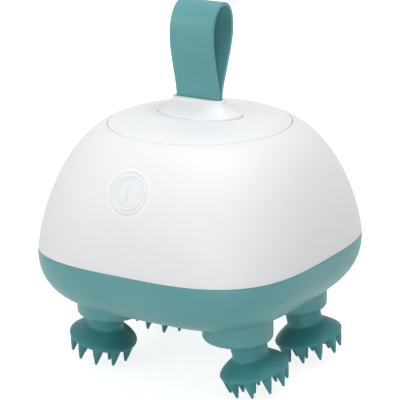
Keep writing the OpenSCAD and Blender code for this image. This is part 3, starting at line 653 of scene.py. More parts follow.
def soft_teal(name, base, gloss_tint):
    """Silicone: matt skin with a powdery sheen, cloudy pigment and a rubbed grain."""
    finish = Finish(name, IOR=1.6, Specular_IOR_Level=0.5, Specular_Tint=gloss_tint, Sheen_Weight=0.1,
                    Sheen_Roughness=0.5, Sheen_Tint=(0.7, 0.95, 0.95, 1),
                    Subsurface_Weight=0.05, Subsurface_Scale=0.0015)
    # base is the silicone's colour in a lit or a shaded copy: painted light on the strap, painted shade on
    # the heads and port cover.
    finish.colour(finish.ramp(finish.noise(60, 4), (0.35, shade(base, 0.94)), (0.65, shade(base, 1.05))))
    finish.gloss(finish.spread(finish.noise(420, 4), 0.46, 0.56))
    fine = finish.grain(finish.noise(6500, 2), 0.000012, 0.5)
    finish.grain(finish.noise(900, 3), 0.00003, 0.25, fine)
    return finish.material


def milky_light():
    """Light guide in the button: milky plastic, smooth, slightly see-through at depth."""
    base = tuple(colours().light)
    return moulded("milky_light_guide", (shade(base, 0.97), base), (180, 3),
                   (500, 3, 0.22, 0.3), (2500, 2, 0.000006, 0.3), Specular_IOR_Level=0.5,
                   Subsurface_Weight=0.3, Subsurface_Scale=0.001)


def black_plastic():
    return moulded("black_switch_plastic", ((0.012, 0.012, 0.013), (0.022, 0.022, 0.024)), (500, 4),
                   (900, 4, 0.38, 0.52), (6000, 2, 0.000012, 0.4), Specular_IOR_Level=0.5)


def circuit_green():
    """Circuit board: green solder mask over faint copper tracks on a square grid."""
    finish = Finish("circuit_board_green", Specular_IOR_Level=0.55, Coat_Weight=0.3, Coat_Roughness=0.2)
    tracks = finish.add("ShaderNodeTexBrick", {
        "Scale": 260, "Mortar Size": 0.035, "Brick Width": 0.9, "Row Height": 0.3,
        "Color1": (0.012, 0.09, 0.04, 1), "Color2": (0.016, 0.12, 0.055, 1),
        "Mortar": (0.05, 0.23, 0.09, 1),
    })
    finish.join(finish.place, tracks.inputs["Vector"])
    finish.colour(finish.blend(finish.spread(finish.noise(700, 3), 0, 0.3), tracks.outputs["Color"],
                               (0.01, 0.07, 0.035)))
    finish.gloss(finish.spread(finish.noise(400, 3), 0.25, 0.4))
    finish.grain(tracks.outputs["Fac"], 0.00003, 0.4)
    return finish.material


def metal(name, dark, light, rough, stretch, scale=900):
    """Metal with a drawn or turned grain, set by how far its noise is stretched."""
    finish = Finish(name, Metallic=1.0)
    lines = finish.noise(scale, 5, 0.6, stretch)
    finish.colour(finish.ramp(lines, (0.3, dark), (0.7, light)))
    finish.gloss(finish.spread(lines, rough * 0.8, rough * 1.25))
    finish.grain(lines, 0.000008, 0.35)
    return finish.material


def nylon(name, dark, light):
    """Moulded nylon: creamy, slightly cloudy, waxy gloss."""
    return moulded(name, (dark, light), (120, 4), (500, 4, 0.38, 0.5), (3500, 2, 0.000012, 0.35),
                   Specular_IOR_Level=0.45, Subsurface_Weight=0.12, Subsurface_Scale=0.0015)


def rubber():
    return moulded("black_seal_rubber", ((0.014, 0.014, 0.015), (0.03, 0.03, 0.031)), (700, 4),
                   (600, 4, 0.6, 0.78), (3000, 3, 0.00002, 0.5), Specular_IOR_Level=0.35,
                   Sheen_Weight=0.1)


def sleeve():
    """Shrink sleeve of the cell: glossy film with faint creases across it."""
    finish = Finish("cell_shrink_sleeve", Specular_IOR_Level=0.5, Coat_Weight=0.4, Coat_Roughness=0.15)
    finish.colour(finish.ramp(finish.noise(90, 4), (0.35, (0.3, 0.018, 0.012)), (0.65, (0.42, 0.03, 0.02))))
    finish.gloss(finish.spread(finish.noise(300, 4), 0.25, 0.38))
    finish.grain(finish.noise(420, 3, 0.5, (0.25, 1, 1)), 0.00006, 0.3)
    return finish.material


def wire(name, dark, light):
    """Soft insulation of a lead."""
    return moulded(name, (dark, light), (400, 4), (700, 3, 0.4, 0.55), (1800, 2, 0.00001, 0.4),
                   Specular_IOR_Level=0.45)


MATERIALS = {
    "white_plastic": satin_white,
    "teal_plastic": base_teal,
    # One silicone in two copies: darker as painted shade for the heads and port cover, lighter as painted
    # light for the strap.
    "teal_silicone": lambda: soft_teal("teal_silicone_shaded", tuple(colours().silicone), (0.75, 1, 1, 1)),
    "strap_silicone": lambda: soft_teal("strap_silicone_lit", tuple(colours().strap), (1, 1, 1, 1)),
    "light_diffuser": milky_light,
    "black_plastic": black_plastic,
    "circuit_board": circuit_green,
    "steel": lambda: metal("bright_steel", (0.5, 0.51, 0.53), (0.68, 0.69, 0.7), 0.24, (1, 1, 0.1)),
    "motor_can": lambda: metal("zinc_plated_can", (0.42, 0.43, 0.45), (0.6, 0.61, 0.63), 0.34,
                               (1, 1, 0.25), 500),
    "gear_plastic": lambda: nylon("gear_nylon", (0.66, 0.62, 0.5), (0.76, 0.72, 0.6)),
    "hub_plastic": lambda: nylon("hub_teal_nylon", (0.04, 0.16, 0.165), (0.05, 0.19, 0.195)),
    "brass": lambda: metal("turned_brass", (0.6, 0.42, 0.15), (0.78, 0.58, 0.26), 0.26, (0.2, 0.2, 1)),
    "black_rubber": rubber,
    "cell_sleeve": sleeve,
    "red_wire": lambda: wire("red_wire_sleeve", (0.33, 0.012, 0.01), (0.47, 0.02, 0.016)),
    "black_wire": lambda: wire("black_wire_sleeve", (0.012, 0.012, 0.012), (0.025, 0.025, 0.026)),
}


def material(slot):
    """The material of a slot, made on its first use."""
    key = "slot_" + slot
    scene = bpy.context.scene
    if key not in scene:
        scene[key] = MATERIALS[slot]()
    return scene[key]


# Pieces


class MASSAGER_OT_dome(bpy.types.Operator):
    """Models the white dome with its button bore, port recess and cap seat"""

    bl_idname = "massager.dome"
    bl_label = "Dome Shell"

    def execute(self, context):
        size = sizes()
        rim, seat = cap_rim_height(), cap_rim_height() - CAP_THICKNESS
        cap_radius = size.cap_width / 2
        ledge = seat - LEDGE_THICKNESS
        outside = [rim * math.sin(math.radians(90 * k / 48)) for k in range(49)]
        inside = [ledge * math.cos(math.radians(90 * k / 20)) for k in range(21)]
        corners = [(dome_radius(z), z) for z in outside]
        corners[0] += (0.12 * MM,)
        corners[-1] += (0.22 * MM,)
        corners += [(cap_radius, seat), (cap_radius - LEDGE_WIDTH, seat), (cap_radius - LEDGE_WIDTH, ledge)]
        corners += [(dome_radius(z, size.wall), z) for z in inside]
        dome = lathe("dome_shell", softened(corners), looped=True)
        square_off(dome, cap_radius + 0.001 * MM)

        reach = size.button_width / 2 + BUTTON_GAP
        flare = 0.12 * MM
        bore = [(0, -9 * MM), (reach, -9 * MM), (reach, -2.6 * MM)]
        bore += [(reach + out, -drop) for out, drop in rounding(flare, 5, 70)]
        bore += [(reach + 3 * flare, 0.4 * MM), (reach + 3 * flare, 2 * MM), (0, 2 * MM)]
        place = button_frame()
        combine(dome, put(drape(lathe("bore", bore, 160), place), place), "DIFFERENCE")

        place = port_frame()
        combine(dome, put(drape(self.recess(), place, -2 * MM), place), "DIFFERENCE")
        rings = [plate_ring(*MOUTH_HALF, 1.2 * MM, z) for z in (-4 * MM, 1 * MM)]
        combine(dome, put(skinned("mouth", rings), place), "DIFFERENCE")
        dress(dome, "casing", "white_plastic", "top_shell")
        return {"FINISHED"}

    def recess(self):
        """Cutter for the port cover's recess, with a softened edge."""
        half_x = sizes().cover_width / 2 + SEAT_GAP
        half_y = 3.7 * MM + SEAT_GAP
        flare = 0.2 * MM
        edge = [(out, -drop) for out, drop in rounding(flare, 5, 70)]
        edge += [(3 * flare, 0.4 * MM), (3 * flare, 2 * MM)]
        rings = [plate_ring(half_x, half_y, RECESS_CORNER, -1.3 * MM)]
        for out, z in edge:
            rings.append(plate_ring(half_x + out, half_y + out, RECESS_CORNER + out, z))
        return skinned("recess", rings)


class MASSAGER_OT_cap(bpy.types.Operator):
    """Models the round cap that closes the dome, with the strap's slot and pin lugs"""

    bl_idname = "massager.cap"
    bl_label = "Dome Cap"

    def execute(self, context):
        size = sizes()
        seat = cap_rim_height() - CAP_THICKNESS
        radius = size.cap_width / 2 - SEAT_GAP
        pocket = size.cap_width / 2 - LEDGE_WIDTH - 0.8 * MM
        pocket_top = seat + 1.4 * MM

        def height(r):
            share = 1 - (2 * r / size.body_width) ** DOME_SQUARE
            return size.dome_height * share ** (1 / DOME_SWEEP)

        corners = [(0, pocket_top), (pocket, pocket_top), (pocket, seat), (radius, seat)]
        corners += [(radius * k / 26, height(radius * k / 26)) for k in range(26, -1, -1)]
        corners[4] += (0.22 * MM,)
        cap = lathe("dome_cap", softened(corners))

        eye = strap_eye_height()
        lug_radius = 3 * MM
        for side in (-1, 1):
            near, far = sorted(side * (size.strap_width / 2 + gap) for gap in (0.6 * MM, 2.6 * MM))
            lug = cross_rod("lug", lug_radius, near, far, 0, eye)
            neck = block("neck", (near, -lug_radius, eye), (far, lug_radius, eye + 5 * MM))
            cap = combine(cap, combine(lug, neck, "UNION"), "UNION")
        cap = combine(cap, cross_rod("hole", PIN_HOLE_RADIUS, -15 * MM, 15 * MM, 0, eye), "DIFFERENCE")

        foot = [
            oval_ring(size.foot_length / 2 + SEAT_GAP, size.foot_width / 2 + SEAT_GAP, 2, z, 128)
            for z in (size.dome_height - 0.7 * MM, size.dome_height + 2 * MM)
        ]
        cap = combine(cap, skinned("foot_pocket", foot), "DIFFERENCE")
        slot = [plate_ring(*slot_half_sizes(), 0.35 * MM, z) for z in (seat - 8 * MM, size.dome_height)]
        cap = combine(cap, skinned("slot", slot), "DIFFERENCE")
        dress(cap, "casing", "white_plastic", "top_cap")
        return {"FINISHED"}


def slot_half_sizes():
    size = sizes()
    return size.strap_width / 2 + 0.2 * MM, size.strap_thickness + 0.15 * MM


def strap_eye_height():
    return cap_rim_height() - CAP_THICKNESS + 1.3 * MM - EYELET_RADIUS


class MASSAGER_OT_strap_mount(bpy.types.Operator):
    """Models the oval strap mount: a rounded foot and a hollow flare up to a soft lip"""

    bl_idname = "massager.strap_mount"
    bl_label = "Strap Mount"

    def execute(self, context):
        size = sizes()
        crown = size.dome_height
        slot_x, slot_y = slot_half_sizes()
        top_x, top_y = slot_x + size.mount_wall, slot_y + size.mount_wall
        foot_x, foot_y = size.foot_length / 2, size.foot_width / 2
        low, lip = crown - 0.5 * MM, 0.45 * MM
        top = crown + size.mount_height
        rings = [(foot_x, foot_y, 2, low)]
        for inset, drop in rounding(0.5 * MM, 6):
            rings.append((foot_x - inset, foot_y - inset, 2, crown + FOOT_THICKNESS - drop))
        for k in range(31):
            f = k / 30 * (1 - lip / (size.mount_height - FOOT_THICKNESS))
            ease = (1 - f) ** 2.4
            rings.append((
                top_x + (foot_x - MM - top_x) * ease,
                top_y + (foot_y - MM - top_y) * ease,
                2 + 3 * f,
                crown + FOOT_THICKNESS + (size.mount_height - FOOT_THICKNESS) * f,
            ))
        for k in range(1, 9):
            a = math.radians(180 * k / 8)
            inset = size.mount_wall / 2 * (1 - math.cos(a))
            power = 5 + 5 * k / 8
            rings.append((top_x - inset, top_y - inset, power, top - lip * (1 - math.sin(a))))
        rings.append((slot_x, slot_y, 10, low))
        mount = skinned("strap_mount_oval", [oval_ring(*ring, 160) for ring in rings], looped=True)
        dress(mount, "casing", "white_plastic", "strap_mount")
        return {"FINISHED"}


def bezier(points, steps):
    a, b, c, d = (Vector(point) for point in points)
    for k in range(steps):
        t = k / steps
        yield (1 - t) ** 3 * a + 3 * (1 - t) ** 2 * t * b + 3 * (1 - t) * t * t * c + t ** 3 * d


class MASSAGER_OT_strap(bpy.types.Operator):
    """Models the silicone strap as one band, from its pin up through the loop and back"""

    bl_idname = "massager.strap"
    bl_label = "Silicone Strap"

    def execute(self, context):
        size = sizes()
        loop = size.loop_height
        half = size.strap_thickness / 2
        tail = half + 0.05 * MM
        front = (-4.4 * loop / 33, loop * 0.65)
        crest = (2.7 * loop / 33, loop - half)
        back = (8.3 * loop / 33, loop * 0.74)
        start = size.dome_height + size.mount_height
        eye = strap_eye_height()
        path = [Vector((-tail, eye - start)), Vector((-tail, (eye - start) / 2))]
        path += bezier(((-tail, 0), (-tail - 0.2 * MM, loop * 0.2), (front[0], loop * 0.42), front), 16)
        path += bezier((front, (front[0], loop * 0.86), (crest[0] - 3.6 * MM, crest[1]), crest), 20)
        path += bezier((crest, (crest[0] + 3.4 * MM, crest[1]), (back[0], loop * 0.9), back), 16)
        path += bezier((back, (back[0], loop * 0.5), (tail + 0.4 * MM, loop * 0.2), (tail, 0)), 18)
        path += [Vector((tail, 0)), Vector((tail, (eye - start) / 2)), Vector((tail, eye - start))]
        edge = 0.32 * MM
        side = size.strap_width / 2

        def normal(index):
            along = path[min(index + 1, len(path) - 1)] - path[max(index - 1, 0)]
            along.normalize()
            return Vector((-along.y, along.x))

        corners = ((side, half), (-side, half), (-side, -half), (side, -half))
        outline = softened([(x, t, edge) for x, t in corners], 5)
        rings = []
        for index, middle in enumerate(path):
            away = normal(index)
            rings.append([(x, middle.x + away.x * t, start + middle.y + away.y * t) for x, t in outline])
        strap = skinned("silicone_strap", rings)
        reach = side - 0.01 * MM
        strap = combine(strap, cross_rod("eyelet", EYELET_RADIUS, -reach, reach, 0, eye), "UNION")
        hole = cross_rod("hole", PIN_HOLE_RADIUS, -2 * side, 2 * side, 0, eye)
        strap = combine(strap, hole, "DIFFERENCE")
        dress(strap, "casing", "teal_silicone", "strap", look="strap_silicone")
        return {"FINISHED"}


class MASSAGER_OT_button(bpy.types.Operator):
    """Models the power button and the ring and bar of light that are set in its face"""

    bl_idname = "massager.button"
    bl_label = "Power Button"

    def execute(self, context):
        size = sizes()
        place = button_frame()
        outer = size.ring_width / 2
        inner = outer - RING_WIDTH
        radius = size.button_width / 2
        soft = 0.09 * MM
        depth = -1.4 * MM
        face = [(0, 0), (inner, 0, soft), (inner, depth), (outer, depth), (outer, 0, soft),
                (radius, 0, 0.14 * MM), (radius, -2.2 * MM)]
        spaced = [(inner * k / 5, 0) for k in range(5)] + softened(face)[1:]
        flange_top, flange_foot, stem_end = -3.6 * MM, -4.3 * MM, -6.9 * MM
        rim, stem = radius + 1.2 * MM, 2 * MM
        flange = [(radius, flange_top), (rim, flange_top), (rim, flange_foot), (stem, flange_foot),
                  (stem, stem_end), (0, stem_end)]
        button = drape(lathe("button_face", spaced + flange, 160), place)
        slot = drape(self.bar("slot", *BAR_HALF, depth, 1 * MM, 0), place)
        button = put(combine(button, slot, "DIFFERENCE"), place)
        dress(button, "button", "white_plastic", "power_button")

        play = 0.02 * MM
        ring = [(inner + play, depth + play), (outer - play, depth + play), (outer - play, 0, soft),
                (inner + play, 0, soft)]
        light = lathe("button_light_ring", softened(ring), 160, looped=True)
        half_x, half_y = BAR_HALF
        bar = self.bar("bar", half_x - play, half_y - play, depth + play, -0.02 * MM, 0.1 * MM)
        light = put(drape(joined([light, bar]), place), place)
        dress(light, "button", "light_diffuser", "button_light")
        return {"FINISHED"}

    def bar(self, name, half_x, half_y, low, high, edge):
        """The bar of the power symbol, or the cutter for its slot."""
        steps = [(0, low)]
        steps += [(inset, high - drop) for inset, drop in rounding(edge, 3)] if edge else [(0, high)]
        rings = []
        for inset, z in steps:
            corner = max(0.05 * MM, 0.3 * MM - inset)
            rings.append(plate_ring(half_x - inset, half_y - inset, corner, z))
        return skinned(name, rings)


# Each head's axis in mm, the side its neck stands on, and the turn of its pins in degrees
HEADS = {
    "front_left": (-25.9, -18.793, 147.5, 12),
    "front_right": (25.9, -18.793, 9, -2),
    "rear_left": (-25.9, 18.793, 136, 0),
    "rear_right": (25.9, 18.793, 6, -7),
}
LEAN_TURN = 28.5
OUTER_PINS, INNER_PINS, INNER_TURN = 10, 7, -6
NECK_OFFSET = 3.2 * MM
SCREWS = [(x * MM, y * MM) for x in (-12, 12) for y in (-37, 37)]
AXLES = [(0, 0), (0, 19.2 * MM)]
SCREW_SEAT, PAST_FLOOR = -14 * MM, -30 * MM


def collar_height():
    return -sizes().bowl_depth - sizes().collar_height


class MASSAGER_OT_base(bpy.types.Operator):
    """Models the teal lower shell with its collars, posts, bores and locating lip"""

    bl_idname = "massager.base"
    bl_label = "Lower Shell"

    def execute(self, context):
        size = sizes()
        low = -size.bowl_depth * FLOOR_SHARE
        floor = -(size.bowl_depth - size.wall) * FLOOR_SHARE
        outside = [low * math.sin(math.radians(90 * k / 30)) for k in range(30, -1, -1)]
        lip_foot = -4 * MM
        inside = [lip_foot + (floor - lip_foot) * math.sin(math.radians(90 * k / 16)) for k in range(17)]
        lip_out, lip_in = size.wall + SEAT_GAP, size.wall + 1.35 * MM
        outer = [(bowl_radius(z), z) for z in outside]
        outer[-1] += (0.5 * MM,)
        lip = [(wall_radius(z * MM, lip_out), z * MM) for z in (0.01, 1, 2, 3)]
        lip += [(wall_radius(z * MM, lip_in), z * MM) for z in (3, 2, 1, 0, -1, -2, -3, -4)]
        inner = [(bowl_radius(z, size.wall), z) for z in inside]
        base = lathe("base_shell", softened([(0, low)] + outer + lip + inner + [(0, floor)]))
        square_off(base)

        stem = lathe("stem", softened(outer_fill(outside, low)))
        square_off(stem)
        posts = joined([self.post(x, y) for x, y in SCREWS])
        posts = combine(posts, stem, "INTERSECT")
        base = combine(base, posts, "UNION")
        collar = self.collar(floor)
        collars = joined([
            shifted(copy_of(collar, "collar_" + name), x * MM, y * MM)
            for name, (x, y, _, _) in HEADS.items()
        ])
        bpy.data.objects.remove(collar, do_unlink=True)
        base = combine(base, collars, "UNION")
        bosses = joined([shifted(rod("boss", 4.5 * MM, floor - MM, -9.6 * MM), x, y) for x, y in AXLES])
        base = combine(base, bosses, "UNION")
        base = combine(base, self.bores(), "DIFFERENCE")
        dress(base, "casing", "teal_plastic", "lower_shell")
        return {"FINISHED"}

    def post(self, x, y):
        """A screw post, wider round the screw's head."""
        heights = (PAST_FLOOR, SCREW_SEAT + 2 * MM, POST_TOP - 0.1 * MM)
        return shifted(spindle("post", heights, (5.5 * MM, 3.5 * MM)), x, y)

    def collar(self, floor):
        """A collar with its bearing housing, as one turned solid."""
        size = sizes()
        radius, end, top = size.collar_width / 2, collar_height(), floor + 2.6 * MM
        housing, housing_top = 6.5 * MM, -13.8 * MM
        edge = [(radius - inset, end + rise) for inset, rise in rounding(1.7 * MM, 8)]
        profile = [(0, end)] + edge[::-1]
        profile += [(radius, top), (radius - size.wall, top), (radius - size.wall, floor)]
        profile += [(housing, floor), (housing, housing_top), (0, housing_top)]
        return lathe("collar", profile, 144)

    def bores(self):
        """Cutters for the hub recesses, seals, bearings, case screws and axles."""
        end, lip = collar_height(), 0.25 * MM
        recess, recess_top = 10.3 * MM, collar_height() + 4.2 * MM
        seal, seal_top, bearing_foot = 5 * MM, end + 6.6 * MM, end + 7 * MM
        shaft, bearing, bearing_top = 3 * MM, 4 * MM, -10 * MM
        hub = [(0, end - 2 * MM), (recess + 0.6 * MM, end - 2 * MM), (recess + 0.6 * MM, end - 0.35 * MM),
               (recess + lip, end), (recess, end + lip), (recess, recess_top), (seal, recess_top),
               (seal, seal_top), (shaft, seal_top), (shaft, bearing_foot), (bearing, bearing_foot),
               (bearing, bearing_top), (0, bearing_top)]
        cutters = [shifted(lathe("hub_bore", hub, 144), x * MM, y * MM) for x, y, _, _ in HEADS.values()]
        heights = (PAST_FLOOR, SCREW_SEAT, 2 * POST_TOP)
        for x, y in SCREWS:
            cutters.append(shifted(spindle("screw_bore", heights, (3.3 * MM, 1.7 * MM), 48), x, y))
        for x, y in AXLES:
            cutters.append(shifted(rod("axle_bore", 1.5 * MM, -17 * MM, -5 * MM), x, y))
        return joined(cutters)


def outer_fill(heights, low):
    """Solid profile of the bowl up to the posts' tops."""
    sides = [(bowl_radius(z), z) for z in heights]
    return [(0, low)] + sides + [(bowl_radius(0), POST_TOP), (0, POST_TOP)]


class MASSAGER_OT_heads(bpy.types.Operator):
    """Models one kneading head with its pins and sets a leaning copy under each hub"""

    bl_idname = "massager.heads"
    bl_label = "Kneading Heads"

    def execute(self, context):
        size = sizes()
        head = self.head()
        hub = collar_height() + 0.4 * MM
        for name, (x, y, side, turn) in HEADS.items():
            axis = Matrix.Translation((x * MM, y * MM, 0))
            place = axis @ Matrix.Translation((0, 0, hub)) @ Matrix.Rotation(math.radians(side), 4, "Z")
            place = place @ Matrix.Translation((NECK_OFFSET, 0, 0))
            place = place @ Matrix.Rotation(math.radians(LEAN_TURN), 4, "Z")
            place = place @ Matrix.Rotation(-size.head_tilt, 4, "Y")
            place = place @ Matrix.Rotation(math.radians(turn), 4, "Z")
            piece = put(copy_of(head, name + "_kneader"), place)
            trim = put(rod("trim", 20 * MM, hub, hub + 12 * MM), axis)
            piece = combine(piece, trim, "DIFFERENCE")
            dress(piece, name, "teal_silicone", name + "_head")
        bpy.data.objects.remove(head, do_unlink=True)
        return {"FINISHED"}

    def head(self):
        """One head with its neck's middle at the origin and its pins towards -Z."""
        size = sizes()
        neck, length, height = 6.25 * MM, 5 * MM, 6.6 * MM
        disc = size.disc_width / 2
        face = -length - height
        rim_in, rim_height = 0.3 * MM, 0.5 * MM
        hollow, hollow_turn = 2 * MM, math.radians(55)
        core, core_foot, top = 4 * MM, -6.5 * MM, 3 * MM
        profile = [(0, core_foot), (core, core_foot), (core, top), (neck, top), (neck, 0)]
        for k in range(11):
            a = hollow_turn * k / 10
            profile.append((neck + hollow * (1 - math.cos(a)), -length - hollow * math.sin(a)))
        start, brim = Vector(profile[-1]), Vector((disc, face + rim_height))
        elbow = Vector((disc, start.y - (disc - start.x) / math.tan(hollow_turn)))
        profile += curve(start, elbow, brim, 18, 1)
        for k in range(1, 9):
            a = math.radians(90 * k / 8)
            profile.append((disc - rim_in * (1 - math.cos(a)), brim.y - rim_height * math.sin(a)))
        profile += [(disc * 0.7, face), (disc * 0.35, face), (0, face)]
        head = lathe("kneader", profile, HEAD_STEPS)
        root = 1.85 * MM
        outer = disc - 0.25 * MM - root
        inner = outer - 2 * root - 0.3 * MM
        spots = [(outer, 360 * k / OUTER_PINS) for k in range(OUTER_PINS)]
        spots += [(inner, 360 * k / INNER_PINS + INNER_TURN) for k in range(INNER_PINS)]
        spots.append((0, 0))
        pin = self.pin(root, rim_height)
        pins = []
        for reach, turn in spots:
            a = math.radians(turn)
            spot = Matrix.Translation((reach * math.cos(a), reach * math.sin(a), face))
            pins.append(put(copy_of(pin, "pin"), spot))
        bpy.data.objects.remove(pin, do_unlink=True)
        return combine(head, joined(pins), "UNION")

    def pin(self, root, depth):
        """A cone with slightly full sides and a round end, rooted inside the rim."""
        length = sizes().pin_length
        tip = 0.5 * MM
        profile = [(0, depth), (root, depth), (root, 0)]
        for k in range(1, 6):
            t = k / 6
            bulge = 0.1 * MM * math.sin(math.pi * t)
            profile.append((root + (tip - root) * t + bulge, (tip - length) * t))
        for k in range(5):
            a = math.radians(90 * k / 4)
            profile.append((tip * math.cos(a), tip * (1 - math.sin(a)) - length))
        return lathe("pin", profile, PIN_STEPS)


class MASSAGER_OT_port_cover(bpy.types.Operator):
    """Models the silicone cover of the charging port, with its barrel and plug"""

    bl_idname = "massager.port_cover"
    bl_label = "Port Cover"

    def execute(self, context):
        size = sizes()
        place = port_frame()
        half_x, half_y = size.cover_width / 2, 3.4 * MM
        rings = [plate_ring(half_x, half_y, COVER_CORNER, -1.2 * MM)]
        for inset, drop in rounding(0.3 * MM, 5):
            rings.append(plate_ring(half_x - inset, half_y - inset, COVER_CORNER - inset, -drop))
        for inset in (1.1 * MM, 2.2 * MM, 3 * MM):
            corner = max(0.1 * MM, COVER_CORNER - inset)
            rings.append(plate_ring(half_x - inset, half_y - inset, corner, 0))
        cover = drape(shifted(skinned("port_flap", rings), 0, -0.3 * MM), place, -0.5 * MM)
        barrel = cross_rod("barrel", 0.6 * MM, -half_x + MM, half_x - MM, 3.1 * MM, -0.6 * MM)
        cover = combine(cover, barrel, "UNION")
        plug = [plate_ring(3.9 * MM, 1.2 * MM, 0.9 * MM, z) for z in (-2.2 * MM, -1.1 * MM)]
        cover = put(combine(cover, skinned("plug", plug), "UNION"), place)
        dress(cover, "port_flap", "teal_silicone", "port_cover")
        return {"FINISHED"}


def for_heads(*kinds):
    """The names that each head's nodes of some kinds have."""
    return [head + "_" + kind for kind in kinds for head in HEADS]


INNER_NODES = {
    "steel": ["strap_pin", "board_screws", "charging_socket", "case_screws", "motor_screws",
              "motor_shaft", "idler_axle", "drive_axle"] + for_heads("shaft"),
    "black_plastic": ["switch_plunger", "power_switch"],
    "circuit_board": ["control_board", "charging_board"],
    "motor_can": ["motor"],
    "gear_plastic": ["gear_plate", "idler_gear", "drive_gear"] + for_heads("gear"),
    "hub_plastic": for_heads("hub"),
    "brass": ["motor_pinion"] + for_heads("bearing", "bush"),
    "black_rubber": ["shell_gasket"] + for_heads("seal"),
    "cell_sleeve": ["battery_cell"],
    "red_wire": ["battery_leads"],
    "black_wire": ["motor_leads"],
}


class MASSAGER_OT_inner_parts(bpy.types.Operator):
    """Gives the drive train, the electrics and the fasteners their materials"""

    bl_idname = "massager.inner_parts"
    bl_label = "Inner Parts"

    def execute(self, context):
        for slot, nodes in INNER_NODES.items():
            for node in nodes:
                paint(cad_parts[node], slot)
        return {"FINISHED"}


# How bright the floor shows by itself, and how much the world lights the object
FLOOR_GLOW, STUDIO_LEVEL = 0.8, 0.4


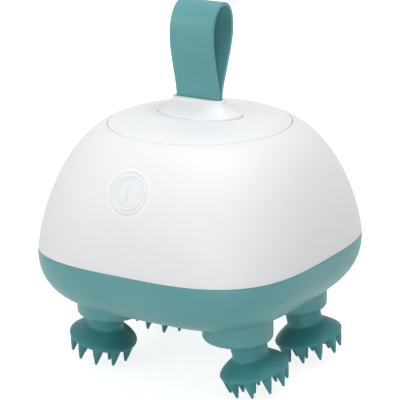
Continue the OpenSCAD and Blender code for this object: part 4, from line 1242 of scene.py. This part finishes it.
class MASSAGER_OT_stage(bpy.types.Operator):
    """Sets the floor, the studio lamps, the world and the camera"""

    bl_idname = "massager.stage"
    bl_label = "Stage"

    def execute(self, context):
        bpy.ops.object.select_all(action="DESELECT")
        bpy.ops.mesh.primitive_plane_add(size=8, location=(0, 0, 0))
        floor = context.object
        floor.name = "floor"
        floor.data.materials.append(self.floor_material())
        floor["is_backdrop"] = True
        self.lamp("key", (-0.86, -1.23, 0.6), 0.8, 5.4)
        self.lamp("top", (0.3, 0.0, 1.55), 0.9, 13.4)
        self.lamp("front", (0.72, -1.22, 0.1), 0.5, 5)
        self.world()
        self.camera()
        context.scene.view_settings.view_transform = "Standard"
        return {"FINISHED"}

    def lamp(self, name, place, size, power):
        bpy.ops.object.light_add(type="AREA", location=place)
        lamp = bpy.context.object
        lamp.name = name
        lamp.data.shape = "DISK"
        lamp.data.size = size
        lamp.data.energy = power
        aim = Vector(place) - Vector((0, 0, 0.05))
        lamp.rotation_euler = aim.to_track_quat("Z", "Y").to_euler()

    def floor_material(self):
        """Pale floor that shows as white, and still takes the object's shadow."""
        finish = Finish("pale_floor", Roughness=0.8, Specular_IOR_Level=0.2)
        base = tuple(colours().floor)
        finish.colour(finish.ramp(finish.noise(6, 3), (0.35, shade(base, 0.99)), (0.65, base)))
        finish.shader.inputs["Emission Color"].default_value = (1, 1, 1, 1)
        lift = finish.add("ShaderNodeMath", {1: FLOOR_GLOW}, operation="MULTIPLY")
        finish.join(self.seen(finish.nodes, finish.links), lift.inputs[0])
        finish.join(lift.outputs[0], finish.shader.inputs["Emission Strength"])
        return finish.material

    def seen(self, nodes, links):
        """1 for a ray from the camera, or by way of gloss or glass; 0 for the light itself."""
        path = nodes.new("ShaderNodeLightPath")
        first, second = nodes.new("ShaderNodeMath"), nodes.new("ShaderNodeMath")
        first.operation = second.operation = "MAXIMUM"
        links.new(path.outputs["Is Camera Ray"], first.inputs[0])
        links.new(path.outputs["Is Glossy Ray"], first.inputs[1])
        links.new(first.outputs[0], second.inputs[0])
        links.new(path.outputs["Is Transmission Ray"], second.inputs[1])
        return second.outputs[0]

    def world(self):
        """Even studio light; white where the camera, gloss or glass sees it."""
        world = bpy.data.worlds.new("studio")
        bpy.context.scene.world = world
        world.use_nodes = True
        nodes, links = world.node_tree.nodes, world.node_tree.links
        nodes.clear()
        backdrop = nodes.new("ShaderNodeBackground")
        strength = nodes.new("ShaderNodeMapRange")
        strength.inputs["To Min"].default_value = STUDIO_LEVEL
        strength.inputs["To Max"].default_value = 1.0
        links.new(self.seen(nodes, links), strength.inputs["Value"])
        links.new(strength.outputs["Result"], backdrop.inputs["Strength"])
        backdrop.inputs["Color"].default_value = (1, 1, 1, 1)
        output = nodes.new("ShaderNodeOutputWorld")
        links.new(backdrop.outputs[0], output.inputs["Surface"])

    def camera(self):
        """Camera at the photograph's angle: from the front right, a little above."""
        turn, rise, roll = math.radians(32.45), math.radians(18.1), math.radians(-0.85)
        distance = 0.6958
        back = Vector((math.sin(turn) * math.cos(rise), -math.cos(turn) * math.cos(rise), math.sin(rise)))
        right = Vector((math.cos(turn), math.sin(turn), 0))
        up = back.cross(right)
        across = right * math.cos(roll) + up * math.sin(roll)
        over = back.cross(across)
        data = bpy.data.cameras.new("camera")
        data.lens = 179.55
        data.sensor_width = 36
        data.shift_x = -0.00375
        data.shift_y = 0.09
        camera = bpy.data.objects.new("camera", data)
        bpy.context.collection.objects.link(camera)
        turn_matrix = Matrix((across, over, back)).transposed().to_4x4()
        camera.matrix_world = Matrix.Translation(Vector((0, 0, JOINT_Z)) + back * distance) @ turn_matrix
        bpy.context.scene.camera = camera


class MASSAGER_PT_build(bpy.types.Panel):
    """Sizes, colours and building steps in the sidebar"""

    bl_idname = "MASSAGER_PT_build"
    bl_label = "Pet Massager"
    bl_space_type = "VIEW_3D"
    bl_region_type = "UI"
    bl_category = "Massager"

    def draw(self, context):
        layout = self.layout
        for group in (context.scene.massager_sizes, context.scene.massager_colours):
            column = layout.column(align=True)
            for name in group.__annotations__:
                column.prop(group, name)
        column = layout.column(align=True)
        for step in STEPS:
            column.operator(step.bl_idname)


STEPS = (
    MASSAGER_OT_dome, MASSAGER_OT_cap, MASSAGER_OT_strap_mount, MASSAGER_OT_strap,
    MASSAGER_OT_button, MASSAGER_OT_base, MASSAGER_OT_heads, MASSAGER_OT_port_cover,
    MASSAGER_OT_inner_parts, MASSAGER_OT_stage,
)
CLASSES = (MassagerSizes, MassagerColours) + STEPS + (MASSAGER_PT_build,)


def register():
    for item in CLASSES:
        bpy.utils.register_class(item)
    bpy.types.Scene.massager_sizes = bpy.props.PointerProperty(type=MassagerSizes)
    bpy.types.Scene.massager_colours = bpy.props.PointerProperty(type=MassagerColours)


def unregister():
    del bpy.types.Scene.massager_colours
    del bpy.types.Scene.massager_sizes
    for item in reversed(CLASSES):
        bpy.utils.unregister_class(item)


def main():
    register()
    bpy.ops.massager.dome()
    bpy.ops.massager.cap()
    bpy.ops.massager.strap_mount()
    bpy.ops.massager.strap()
    bpy.ops.massager.button()
    bpy.ops.massager.base()
    bpy.ops.massager.heads()
    bpy.ops.massager.port_cover()
    bpy.ops.massager.inner_parts()
    bpy.ops.massager.stage()
    boxes = {"cad": CAD_BOX, "visual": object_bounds()}
    {name: [list(corner) for corner in box] for name, box in boxes.items()}


if __name__ == "__main__":
    main()
